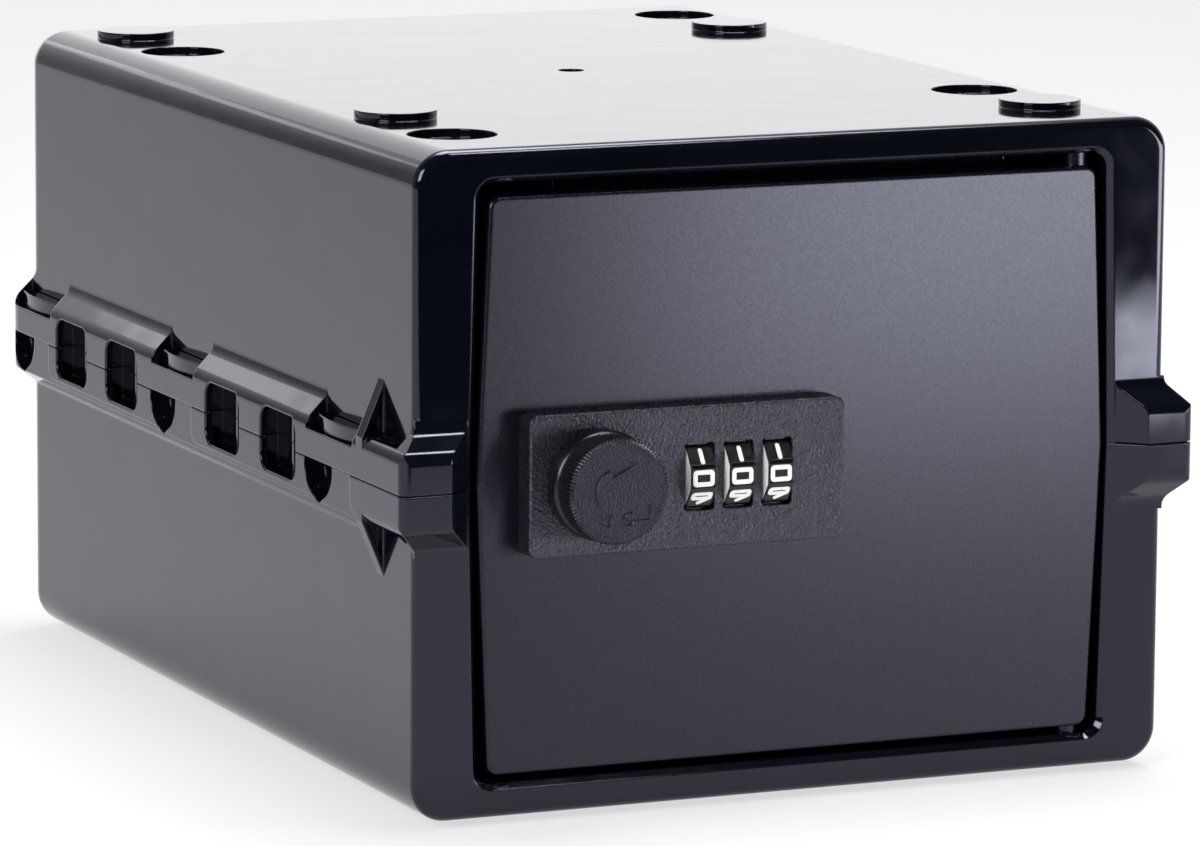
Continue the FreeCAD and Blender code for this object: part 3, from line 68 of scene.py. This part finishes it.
def newMaterial(name, look):
    # every finish is built alike: a clouded colour, uneven gloss, edges that catch the light, and a fine grain
    # (cloud, haze, edge, grain, relief and the crown's middle are in mm)
    material = bpy.data.materials.new(name)
    material.use_nodes = True
    tree = material.node_tree
    shader = tree.nodes["Principled BSDF"]
    place = addNode(tree, "ShaderNodeTexCoord").outputs["Object"]
    cloud = addNode(tree, "ShaderNodeTexNoise", {"Vector": place},
                    {"Scale": 1 / (look["cloud"] * mm), "Detail": 3.0})
    tone = addNode(tree, "ShaderNodeValToRGB", {"Fac": cloud.outputs["Fac"]})
    for stop, at, colour in zip(tone.color_ramp.elements, noiseSpan, (look["dark"], look["light"])):
        stop.position = at
        stop.color = srgb(colour)
    tree.links.new(tone.outputs["Color"], shader.inputs["Base Color"])
    haze = addNode(tree, "ShaderNodeTexNoise", {"Vector": place},
                   {"Scale": 1 / (look["haze"] * mm), "Detail": 4.0})
    smoothest, dullest = look["roughness"]
    gloss = addNode(tree, "ShaderNodeMapRange", {"Value": haze.outputs["Fac"]},
                    {"From Min": noiseSpan[0], "From Max": noiseSpan[1], "To Min": smoothest, "To Max": dullest})
    tree.links.new(gloss.outputs["Result"], shader.inputs["Roughness"])
    edges = addNode(tree, "ShaderNodeBevel", sockets={"Radius": look["edge"] * mm}, samples=6)
    grain = addNode(tree, "ShaderNodeTexNoise", {"Vector": place},
                    {"Scale": 1 / (look["grain"] * mm), "Detail": look.get("grainDetail", 2.0), "Roughness": 0.55})
    relief = addNode(tree, "ShaderNodeBump", {"Height": grain.outputs["Fac"], "Normal": edges.outputs["Normal"]},
                     {"Strength": 1.0, "Distance": look["relief"] * mm})
    if "crown" in look:  # a wide flat panel bows outwards as it cools, so its reflections lean to one side
        middle, bow = look["crown"]
        sides = addNode(tree, "ShaderNodeSeparateXYZ", {"Vector": place})
        off = addNode(tree, "ShaderNodeMath", {0: sides.outputs["X"]}, {1: middle * mm}, operation="SUBTRACT")
        square = addNode(tree, "ShaderNodeMath", {0: off.outputs[0], 1: off.outputs[0]}, operation="MULTIPLY")
        fall = addNode(tree, "ShaderNodeMath", {0: square.outputs[0]}, {1: -bow}, operation="MULTIPLY")
        relief = addNode(tree, "ShaderNodeBump", {"Height": fall.outputs[0], "Normal": relief.outputs["Normal"]},
                         {"Strength": 1.0, "Distance": 1.0})
    tree.links.new(relief.outputs["Normal"], shader.inputs["Normal"])
    for socket, value in look.get("sockets", {}).items():
        shader.inputs[socket].default_value = value
    return material


blueSheen = (0.78, 0.8, 1.0, 1)  # the photograph's reflections in black plastic lean to blue

# ABS moulded against a polished tool: deep black and mirror-like, its reflections waved by sink
absPolished = newMaterial("absPolished", {
    "dark": "#05070d", "light": "#070a12", "cloud": 40, "roughness": (0.05, 0.09), "haze": 9,
    "edge": 0.6, "grain": 22, "relief": 0.075, "grainDetail": 1.0,
    "sockets": {"IOR": 1.5, "Specular Tint": blueSheen}})

# the same ABS from a finely sparked tool: the sheen spreads over the panel
absSatin = newMaterial("absSatin", {
    "dark": "#06080e", "light": "#080b13", "cloud": 30, "roughness": (0.26, 0.29), "haze": 0.8,
    "edge": 0.5, "grain": 0.5, "relief": 0.004, "crown": (-250, 0.2),
    "sockets": {"IOR": 1.5, "Specular Tint": blueSheen}})

# glass-filled nylon from a leather-grained tool: dull pebbles with bright flanks, drawn a little large to show
nylonGrained = newMaterial("nylonGrained", {
    "dark": "#101114", "light": "#1b1c20", "cloud": 3, "roughness": (0.24, 0.34), "haze": 1.2,
    "edge": 0.35, "grain": 0.6, "relief": 0.34,
    "sockets": {"IOR": 1.55, "Specular IOR Level": 0.75, "Specular Tint": blueSheen}})

# the knob's own grain is finer and flatter than the bezel's
nylonFine = newMaterial("nylonFineGrained", {
    "dark": "#0e0e11", "light": "#17181c", "cloud": 2.5, "roughness": (0.28, 0.38), "haze": 1.0,
    "edge": 0.08, "grain": 0.55, "relief": 0.16,
    "sockets": {"IOR": 1.53, "Specular Tint": blueSheen}})

# the collar's ring was left smooth: a soft gloss with turning-fine waves
nylonSmooth = newMaterial("nylonSmooth", {
    "dark": "#060607", "light": "#0a0a0c", "cloud": 6, "roughness": (0.22, 0.3), "haze": 2,
    "edge": 0.4, "grain": 3, "relief": 0.01, "sockets": {"IOR": 1.5, "Specular Tint": blueSheen}})

# ABS from a plain milled tool, where nobody looks: dull and slightly scuffed
absPlain = newMaterial("absPlain", {
    "dark": "#0d0d0f", "light": "#16161a", "cloud": 12, "roughness": (0.36, 0.55), "haze": 4,
    "edge": 0.3, "grain": 0.5, "relief": 0.02, "sockets": {"IOR": 1.5}})

# the number rings: black acetal, smooth with a slight sheen along the ribs
acetalBlack = newMaterial("acetalBlack", {
    "dark": "#08080a", "light": "#0e0e11", "cloud": 3, "roughness": (0.14, 0.22), "haze": 1.5,
    "edge": 0.2, "grain": 0.5, "relief": 0.006, "sockets": {"IOR": 1.48}})

# pad-printed numerals: thick white ink, faintly uneven
inkWhite = newMaterial("inkWhite", {
    "dark": "#e9e9e6", "light": "#f4f4f1", "cloud": 1.5, "roughness": (0.4, 0.55), "haze": 0.6,
    "edge": 0.05, "grain": 0.4, "relief": 0.005, "sockets": {"IOR": 1.46}})

# white acetal cores: waxy, neither glossy nor flat
acetalWhite = newMaterial("acetalWhite", {
    "dark": "#e2e2dd", "light": "#eeeeea", "cloud": 5, "roughness": (0.32, 0.42), "haze": 2,
    "edge": 0.15, "grain": 0.8, "relief": 0.006, "sockets": {"IOR": 1.48}})

# natural acetal sleeves: ivory, drawn from bar and sawn
acetalNatural = newMaterial("acetalNatural", {
    "dark": "#c8c4b6", "light": "#d8d4c8", "cloud": 4, "roughness": (0.36, 0.5), "haze": 1.5,
    "edge": 0.12, "grain": 0.6, "relief": 0.01, "sockets": {"IOR": 1.48}})

# steel with a clear zinc passivate: blue-grey, clouded, dulled in patches
zincSteel = newMaterial("zincPlatedSteel", {
    "dark": "#8f959c", "light": "#b4b9be", "cloud": 3.5, "roughness": (0.24, 0.4), "haze": 1.6,
    "edge": 0.12, "grain": 0.35, "relief": 0.01, "sockets": {"Metallic": 1.0}})

# free-cutting brass as it leaves the lathe, darkened a little in patches
turnedBrass = newMaterial("turnedBrass", {
    "dark": "#9c7f43", "light": "#c0a265", "cloud": 3, "roughness": (0.2, 0.34), "haze": 1.2,
    "edge": 0.12, "grain": 0.4, "relief": 0.01, "sockets": {"Metallic": 1.0}})

finishes = {
    "upper_shell": absPolished, "lower_shell": absPolished, "door_panel": absSatin, "lock_bezel": nylonGrained,
    "knob": nylonFine, "knob_collar": nylonSmooth, "lock_rear_cover": absPlain, "reset_lever": absPlain,
    "spindle_bush": turnedBrass,
}
families = {"dial_wheel": acetalBlack, "dial_core": acetalWhite, "code_sleeve": acetalNatural}
for name in nodes:
    family = name.rsplit("_", 1)[0]
    finishes.setdefault(name, families.get(family, zincSteel))
for name, material in finishes.items():
    slots = nodes[name].data.materials
    slots.clear()
    slots.append(material)
print("finishes on", len(finishes), "nodes")


# modelling helpers

def startPiece():
    if bpy.context.object and bpy.context.object.mode == "EDIT":
        bpy.ops.object.mode_set(mode="OBJECT")
    bpy.ops.object.select_all(action="DESELECT")


def only(piece):
    bpy.ops.object.select_all(action="DESELECT")
    piece.select_set(True)
    bpy.context.view_layer.objects.active = piece


def pick(piece, kind, test):
    # selects the faces, edges or points of a piece that pass a test, and leaves it in edit mode
    bpy.ops.object.mode_set(mode="EDIT")
    bpy.ops.mesh.select_mode(type={"faces": "FACE", "edges": "EDGE", "points": "VERT"}[kind])
    bpy.ops.mesh.select_all(action="DESELECT")
    bpy.ops.object.mode_set(mode="OBJECT")
    mesh = piece.data
    for item in {"faces": mesh.polygons, "edges": mesh.edges, "points": mesh.vertices}[kind]:
        item.select = bool(test(item))
    bpy.ops.object.mode_set(mode="EDIT")


def settle(piece, name):
    # puts the piece's place into its mesh
    bpy.ops.object.mode_set(mode="OBJECT")
    only(piece)
    bpy.ops.object.transform_apply(location=True, rotation=True, scale=True)
    piece.name = piece.data.name = name


def copyAlong(piece, name, shift):
    twin = piece.copy()
    twin.data = piece.data.copy()
    twin.data.transform(Matrix.Translation(shift))
    twin.name = twin.data.name = name
    bpy.context.scene.collection.objects.link(twin)
    return twin


# number rings: thin ten-sided bands round the white cores, with a raised rib at each corner

ring = {"corner": 0.75, "ribEdge": 0.16, "ribRise": 0.2, "fit": 0.02, "slack": 0.1, "sides": 10}  # mm and a count
low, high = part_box("dial_wheel_1")
ringCentre = (Vector(low) + Vector(high)) / 2
ringWidth = high[0] - low[0]
ringRadius = (high[2] - low[2]) / 2
halfSide = math.pi / ring["sides"]
flatRadius = ringRadius * math.cos(halfSide)
coreLow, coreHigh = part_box("dial_core_1")
coreFlat = (coreHigh[2] - coreLow[2]) / 2 * math.cos(halfSide)
startPiece()
bpy.ops.mesh.primitive_cylinder_add(vertices=ring["sides"], radius=ringRadius, depth=ringWidth,
                                    location=ringCentre, rotation=(0, math.pi / 2, 0))
numberRing = bpy.context.object
settle(numberRing, "numberRing1")
pick(numberRing, "points", lambda point: True)
bpy.ops.transform.rotate(value=halfSide, orient_axis="X", center_override=ringCentre)
pick(numberRing, "faces", lambda face: abs(face.normal.x) > 0.9)
bpy.ops.mesh.inset(thickness=flatRadius - coreFlat - ring["fit"] * mm, use_individual=True)
bpy.ops.mesh.bridge_edge_loops()


def outerCorner(edge):
    one, other = (numberRing.data.vertices[i].co - ringCentre for i in edge.vertices)
    return abs(one.x - other.x) > ringWidth / 2 and one.yz.length > ringRadius - ring["slack"] * mm


pick(numberRing, "edges", outerCorner)
bpy.ops.mesh.bevel(offset=ring["corner"] * mm, segments=1)
ribWidest = 3 * ring["corner"] * mm
pick(numberRing, "faces", lambda face: abs(face.normal.x) < 0.5 and face.area < ringWidth * ribWidest)
bpy.ops.mesh.inset(thickness=ring["ribEdge"] * mm, depth=ring["ribRise"] * mm, use_individual=True)
bpy.ops.object.mode_set(mode="OBJECT")
numberRing.data.materials.append(acetalBlack)

# numerals: squared strokes, wider than tall, in half widths and half heights of the line down their middle
numeral = {
    "width": 4.6, "height": 3.0, "stroke": 1.2, "proud": 0.12, "corner": 0.35, "weld": 0.002,  # mm
    "tip": ((0.3, 0.88), (0.5, 0.55), (0.58, 0.1)),  # mm beyond the end, and the share of the stroke there
    "cornerPull": 0.29, "smooth": 50,  # a share of the corner, and degrees
}
strokes = [
    [[(-1, 0), (-1, 1), (1, 1), (1, -1), (-1, -1), (-1, 0)]],
    [[(0, -1.1), (0, 1.1)]],
    [[(-1, 1), (1, 1), (1, 0), (-1, 0), (-1, -1), (1, -1)]],
    [[(-1, 1), (1, 1), (1, -1), (-1, -1)], [(-0.4, 0), (1, 0)]],
    [[(-1, 1), (-1, 0), (1, 0)], [(0.5, 1), (0.5, -1)]],
    [[(1, 1), (-1, 1), (-1, 0), (1, 0), (1, -1), (-1, -1)]],
    [[(1, 1), (-1, 1), (-1, -1), (1, -1), (1, 0), (-1, 0)]],
    [[(-1, 1), (1, 1), (-0.3, -1)]],
    [[(-1, 0), (-1, 1), (1, 1), (1, -1), (-1, -1), (-1, 0), (1, 0)]],
    [[(1, 0), (-1, 0), (-1, 1), (1, 1), (1, 0), (-0.2, -1)]],
]


def rounded(line):
    # three points at each corner, and a narrowing tip at each free end
    cut = numeral["corner"] * mm
    pull = cut * numeral["cornerPull"]
    path = []
    for i, point in enumerate(line):
        if 0 < i < len(line) - 1:
            before, after = (line[i - 1] - point).normalized(), (line[i + 1] - point).normalized()
            path += [(point + before * cut, 1), (point + (before + after) * pull, 1), (point + after * cut, 1)]
        else:
            path.append((point, 1))
    if line[0] != line[-1]:
        for at, inner in ((0, 1), (-1, -2)):
            tip, way = path[at][0], (path[at][0] - path[inner][0]).normalized()
            more = [(tip + way * reach * mm, size) for reach, size in numeral["tip"]]
            path = more[::-1] + path if at == 0 else path + more
    return path


startPiece()
half = Vector((numeral["width"] / 2 * mm, numeral["height"] / 2 * mm))
numerals = []
for digit, lines in enumerate(strokes):
    drawn = bpy.data.curves.new(f"numeral{digit}", "CURVE")
    drawn.dimensions = "3D"
    drawn.bevel_depth = numeral["stroke"] / 2 * mm
    drawn.bevel_resolution = 2
    drawn.use_fill_caps = True
    for line in lines:
        path = rounded([Vector(point) * half for point in line])
        spline = drawn.splines.new("POLY")
        spline.use_cyclic_u = line[0] == line[-1]
        if spline.use_cyclic_u:
            path.pop()
        spline.points.add(len(path) - 1)
        for spot, (point, size) in zip(spline.points, path):
            spot.co = (point.x, point.y, 0, 1)
            spot.radius = size
    figure = bpy.data.objects.new(f"numeral{digit}", drawn)
    bpy.context.scene.collection.objects.link(figure)
    angle = 2 * halfSide * digit
    outward = Vector((0, -math.cos(angle), math.sin(angle)))
    figure.location = ringCentre + outward * flatRadius
    figure.rotation_euler = (math.pi / 2 - angle, 0, 0)
    figure.scale = (1, 1, numeral["proud"] / (numeral["stroke"] / 2))
    numerals.append(figure)
for figure in numerals:
    figure.select_set(True)
bpy.context.view_layer.objects.active = numerals[0]
bpy.ops.object.convert(target="MESH")
bpy.ops.object.transform_apply(location=True, rotation=True, scale=True)
bpy.ops.object.join()
figures = bpy.context.object
figures.name = figures.data.name = "numerals1"
figures.data.materials.append(inkWhite)
pick(figures, "points", lambda point: True)
bpy.ops.mesh.remove_doubles(threshold=numeral["weld"] * mm)
bpy.ops.mesh.normals_make_consistent(inside=False)
bpy.ops.object.mode_set(mode="OBJECT")
bpy.ops.object.shade_smooth_by_angle(angle=math.radians(numeral["smooth"]))

for i in (1, 2, 3):
    shift = Vector(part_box(f"dial_wheel_{i}")[0]) - Vector(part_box("dial_wheel_1")[0])
    band = numberRing if i == 1 else copyAlong(numberRing, f"numberRing{i}", shift)
    marks = figures if i == 1 else copyAlong(figures, f"numerals{i}", shift)
    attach(band, f"dial_{i}")
    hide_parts(f"dial_wheel_{i}")
    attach(marks, f"dial_{i}")
print("number rings and numerals on three dials")


# knob: knurled grip, sunk face, cut arrow and padlock sign

grip = {
    "knurls": 90, "boreSides": 48,  # counts
    "knurlDepth": 0.45, "frontBevel": 0.8, "rim": 0.45, "rimSlope": 0.15, "sink": 0.15,  # mm
    "cut": 0.65, "slope": 0.2, "weld": 0.01, "bore": 4.05, "fit": 0.05,  # mm
    "arrow": {
        "inner": 6.0, "outer": 8.9, "barb": 1.9, "tipShift": 0.6,  # mm
        "from": -108, "to": -248, "barbLead": 2, "tip": -304, "steps": 28,  # degrees and a count
    },
    "padlock": {
        "left": 3.6, "right": 8.4, "low": -7.2, "high": -3.6,  # mm from the knob's middle
        "loopX": 2.7, "loopZ": -6.4, "loopInner": 1.1, "loopOuter": 1.9,  # mm
        "bends": range(60, 301, 20),  # degrees round the loop
    },
}
low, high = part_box("knob")
gripCentre = (Vector(low) + Vector(high)) / 2
gripRadius = (high[0] - low[0]) / 2
faceY, backY = low[1], high[1]
bevel = grip["frontBevel"] * mm
startPiece()
bpy.ops.mesh.primitive_cylinder_add(
    vertices=2 * grip["knurls"], radius=gripRadius, depth=backY - faceY - bevel,
    location=(gripCentre.x, (faceY + bevel + backY) / 2, gripCentre.z), rotation=(math.pi / 2, 0, 0))
knob = bpy.context.object
settle(knob, "knurledKnob")


def aroundKnob(point):
    return math.degrees(math.atan2(point.co.z - gripCentre.z, point.co.x - gripCentre.x))


step = 180 / grip["knurls"]
pick(knob, "points", lambda point: round(aroundKnob(point) / step) % 2 == 1)
pull = 1 - grip["knurlDepth"] * mm / gripRadius
bpy.ops.transform.resize(value=(pull, 1, pull), center_override=gripCentre)
pick(knob, "faces", lambda face: face.normal.y < -0.9)
bpy.ops.mesh.extrude_region_move(TRANSFORM_OT_translate={"value": (0, -bevel, 0)})
shrink = 1 - bevel / gripRadius
bpy.ops.transform.resize(value=(shrink, 1, shrink), center_override=(gripCentre.x, faceY, gripCentre.z))
bpy.ops.mesh.inset(thickness=grip["rim"] * mm)
bpy.ops.mesh.inset(thickness=grip["rimSlope"] * mm, depth=-grip["sink"] * mm)
bpy.ops.object.mode_set(mode="OBJECT")


def cutter(points):
    # a flat outline on the knob's face, in mm right and up from its middle, made into a block that cuts it
    drawn = bpy.data.curves.new("cutter", "CURVE")
    drawn.dimensions = "2D"
    drawn.fill_mode = "BOTH"
    drawn.extrude = drawn.bevel_depth = grip["slope"] * mm
    drawn.bevel_resolution = 0
    spline = drawn.splines.new("POLY")
    spline.points.add(len(points) - 1)
    spline.use_cyclic_u = True
    for spot, (x, z) in zip(spline.points, points):
        spot.co = (x * mm, z * mm, 0, 1)
    block = bpy.data.objects.new("cutter", drawn)
    bpy.context.scene.collection.objects.link(block)
    block.location = (gripCentre.x, faceY + (grip["sink"] - grip["cut"]) * mm, gripCentre.z)
    block.rotation_euler = (math.pi / 2, 0, 0)
    block.scale.z = grip["cut"] / grip["slope"]
    only(block)
    bpy.ops.object.convert(target="MESH")
    settle(block, "cutter")
    pick(block, "points", lambda point: True)
    bpy.ops.mesh.remove_doubles(threshold=grip["weld"] * mm)
    bpy.ops.mesh.normals_make_consistent(inside=False)
    bpy.ops.object.mode_set(mode="OBJECT")
    return block


def polar(radius, degrees):
    return (radius * math.cos(math.radians(degrees)), radius * math.sin(math.radians(degrees)))


arrow, padlock = grip["arrow"], grip["padlock"]
sweep = [arrow["from"] + (arrow["to"] - arrow["from"]) * i / arrow["steps"] for i in range(arrow["steps"] + 1)]
middle = (arrow["inner"] + arrow["outer"]) / 2
head = arrow["to"] + arrow["barbLead"]
outline = [polar(arrow["inner"], a) for a in sweep]
outline += [polar(arrow["inner"] - arrow["barb"], head), polar(middle + arrow["tipShift"], arrow["tip"]),
            polar(arrow["outer"] + arrow["barb"], head)]
outline += [polar(arrow["outer"], a) for a in reversed(sweep)]
lockBody = [(padlock["left"], padlock["low"]), (padlock["right"], padlock["low"]),
            (padlock["right"], padlock["high"]), (padlock["left"], padlock["high"])]
loop = [polar(padlock["loopOuter"], a) for a in padlock["bends"]]
loop += [polar(padlock["loopInner"], a) for a in reversed(padlock["bends"])]
shackle = [(x + padlock["loopX"], z + padlock["loopZ"]) for x, z in loop]
blocks = [cutter(points) for points in (outline, lockBody, shackle)]
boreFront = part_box("spindle")[0][1] - grip["fit"] * mm
boreBack = backY + mm  # through the back
startPiece()
bpy.ops.mesh.primitive_cylinder_add(
    vertices=grip["boreSides"], radius=grip["bore"] * mm, depth=boreBack - boreFront,
    location=(gripCentre.x, (boreFront + boreBack) / 2, gripCentre.z), rotation=(math.pi / 2, 0, 0))
blocks.append(bpy.context.object)
for block in blocks:
    bite = knob.modifiers.new("bite", "BOOLEAN")
    bite.operation = "DIFFERENCE"
    bite.solver = "EXACT"
    bite.object = block
    only(knob)
    bpy.ops.object.modifier_apply(modifier="bite")
    bpy.data.objects.remove(block, do_unlink=True)
knob.data.materials.clear()
knob.data.materials.append(nylonFine)
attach(knob, "knob_set")
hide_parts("knob")
print("knob cut with arrow and padlock:", len(knob.data.polygons), "faces")


# studio: white table, dark room in front of it, soft boxes, camera at the photograph's angle

studio = {
    "left": -3.2, "right": 3.2, "front": -0.64, "back": 3.4, "paper": "#f1f0f4",  # the table's edges in metres
    "roomWidth": 40, "roomDepth": 20, "roomFloor": -0.6, "room": "#050506",
    "white": (0.985, 0.98, 1.0, 1), "glow": 0.66,  # the backdrop's white, and the share of it that the table shows
    "fill": 0.3,  # the sky's strength as light
    "behind": {"From Min": -0.2, "From Max": 0.3, "To Min": 0.03, "To Max": 1.0},  # dark in front, white behind
    "beside": {"From Min": -0.38, "From Max": -0.2, "To Min": 0.28, "To Max": 1.0},  # dim on the left
}


def seenRays(tree):
    # two outputs: 1 for what the camera sees straight, and 1 for that and what it sees mirrored or through something
    ray = addNode(tree, "ShaderNodeLightPath")
    seen = addNode(tree, "ShaderNodeMath", {0: ray.outputs["Is Camera Ray"], 1: ray.outputs["Is Glossy Ray"]},
                   operation="MAXIMUM")
    seen = addNode(tree, "ShaderNodeMath", {0: seen.outputs[0], 1: ray.outputs["Is Transmission Ray"]},
                   operation="MAXIMUM")
    return ray.outputs["Is Camera Ray"], seen.outputs[0]


startPiece()
bpy.ops.mesh.primitive_plane_add(size=1, location=((studio["left"] + studio["right"]) / 2,
                                                   (studio["front"] + studio["back"]) / 2, 0))
table = bpy.context.object
table.name = "table"
bpy.ops.transform.resize(value=(studio["right"] - studio["left"], studio["back"] - studio["front"], 1))
paper = bpy.data.materials.new("studioPaper")
paper.use_nodes = True
tree = paper.node_tree
surface = tree.nodes["Principled BSDF"]
surface.inputs["Base Color"].default_value = srgb(studio["paper"])
surface.inputs["Roughness"].default_value = 0.9
surface.inputs["Specular IOR Level"].default_value = 0.1
seen = seenRays(tree)[1]
share = addNode(tree, "ShaderNodeMath", {0: seen}, {1: studio["glow"]}, operation="MULTIPLY")
white = addNode(tree, "ShaderNodeEmission", sockets={"Color": studio["white"], "Strength": 1.0})
mixed = addNode(tree, "ShaderNodeMixShader", {0: share.outputs[0], 1: surface.outputs[0], 2: white.outputs[0]})
tree.links.new(mixed.outputs[0], tree.nodes["Material Output"].inputs["Surface"])
table.data.materials.append(paper)
startPiece()
bpy.ops.mesh.primitive_plane_add(
    size=1, location=(0, studio["front"] - studio["roomDepth"] / 2, studio["roomFloor"]))
room = bpy.context.object
room.name = "room"
bpy.ops.transform.resize(value=(studio["roomWidth"], studio["roomDepth"], 1))
shade = bpy.data.materials.new("darkRoom")
shade.use_nodes = True
surface = shade.node_tree.nodes["Principled BSDF"]
surface.inputs["Base Color"].default_value = srgb(studio["room"])
surface.inputs["Specular IOR Level"].default_value = 0.0
room.data.materials.append(shade)
room.visible_camera = False

world = bpy.data.worlds.new("studioSky")
bpy.context.scene.world = world
world.use_nodes = True
sky = world.node_tree
dim = sky.nodes["Background"]
dim.inputs["Color"].default_value = (1, 1, 1, 1)
dim.inputs["Strength"].default_value = studio["fill"]
direct, seen = seenRays(sky)
way = addNode(sky, "ShaderNodeSeparateXYZ", {"Vector": addNode(sky, "ShaderNodeTexCoord").outputs["Generated"]})
behind = addNode(sky, "ShaderNodeMapRange", {"Value": way.outputs["Y"]}, studio["behind"])
beside = addNode(sky, "ShaderNodeMapRange", {"Value": way.outputs["X"]}, studio["beside"])
level = addNode(sky, "ShaderNodeMath", {0: behind.outputs[0], 1: beside.outputs[0]}, operation="MULTIPLY")
level = addNode(sky, "ShaderNodeMath", {0: level.outputs[0], 1: direct}, operation="MAXIMUM")
bright = addNode(sky, "ShaderNodeBackground", {"Strength": level.outputs[0]}, {"Color": studio["white"]})
mixed = addNode(sky, "ShaderNodeMixShader", {0: seen, 1: dim.outputs[0], 2: bright.outputs[0]})
sky.links.new(mixed.outputs[0], sky.nodes["World Output"].inputs["Surface"])

# lamps, in metres and watts
boxes = {
    "backSoftbox": {"at": (0.72, 2.2, 0.85), "towards": (0, 0, 0.1), "size": (2.35, 1.4), "power": 5.5},
    "stripSoftbox": {"at": (-0.5, 2.2, 0.92), "towards": (-0.1, 0, 0.1), "size": (0.5, 0.12), "power": 0.22},
    "overheadSoftbox": {"at": (0.25, 0.12, 1.6), "towards": (0, 0, 0), "size": (0.8, 0.8), "power": 27},
    "smallKeyLamp": {"at": (0.58, -0.69, 1.6), "towards": (-0.04, -0.15, 0.085), "size": (0.2, 0.2), "power": 2.5},
    "frontSoftbox": {"at": (1.0, -0.95, -0.05), "towards": (0.0, -0.13, 0.12), "size": (0.8, 0.36), "power": 10},
    "frontCard": {"at": (0.548, -0.957, -0.04), "towards": (0.1, -0.13, 0.1), "size": (0.05, 0.04), "power": 0.07},
    "leftSoftbox": {"at": (-1.3, -0.9, 0.75), "towards": (-0.03, -0.13, 0.1), "size": (0.7, 0.7), "power": 18},
}
for name, box in boxes.items():
    lamp = bpy.data.lights.new(name, "AREA")
    lamp.shape = "RECTANGLE"
    lamp.size, lamp.size_y = box["size"]
    lamp.energy = box["power"]
    holder = bpy.data.objects.new(name, lamp)
    bpy.context.scene.collection.objects.link(holder)
    holder.location = box["at"]
    aim = Vector(box["towards"]) - Vector(box["at"])
    holder.rotation_euler = aim.to_track_quat("-Z", "Y").to_euler()
    holder.visible_camera = False

shot = {
    "turn": 23.796, "rise": 9.515, "roll": 0.410,  # degrees round and above the front, and the tilt of the frame
    "focal": 215.307, "sensor": 36, "distance": 1917.27 * mm, "target": Vector((8.989, 6.37, 72.891)) * mm,
}
turn, rise, roll = (math.radians(shot[k]) for k in ("turn", "rise", "roll"))
ahead = Vector((math.sin(turn) * math.cos(rise), math.cos(turn) * math.cos(rise), -math.sin(rise)))
right = Vector((math.cos(turn), -math.sin(turn), 0))
up = right.cross(ahead)
across = right * math.cos(roll) + up * math.sin(roll)
upright = up * math.cos(roll) - right * math.sin(roll)
lens = bpy.data.cameras.new("camera")
lens.lens = shot["focal"]
lens.sensor_width = shot["sensor"]
camera = bpy.data.objects.new("camera", lens)
bpy.context.scene.collection.objects.link(camera)
eye = shot["target"] - ahead * shot["distance"]
camera.matrix_world = Matrix((
    (across.x, upright.x, -ahead.x, eye.x), (across.y, upright.y, -ahead.y, eye.y),
    (across.z, upright.z, -ahead.z, eye.z), (0, 0, 0, 1)))
bpy.context.scene.camera = camera
bpy.context.scene.view_settings.view_transform = "Standard"
print("studio ready")
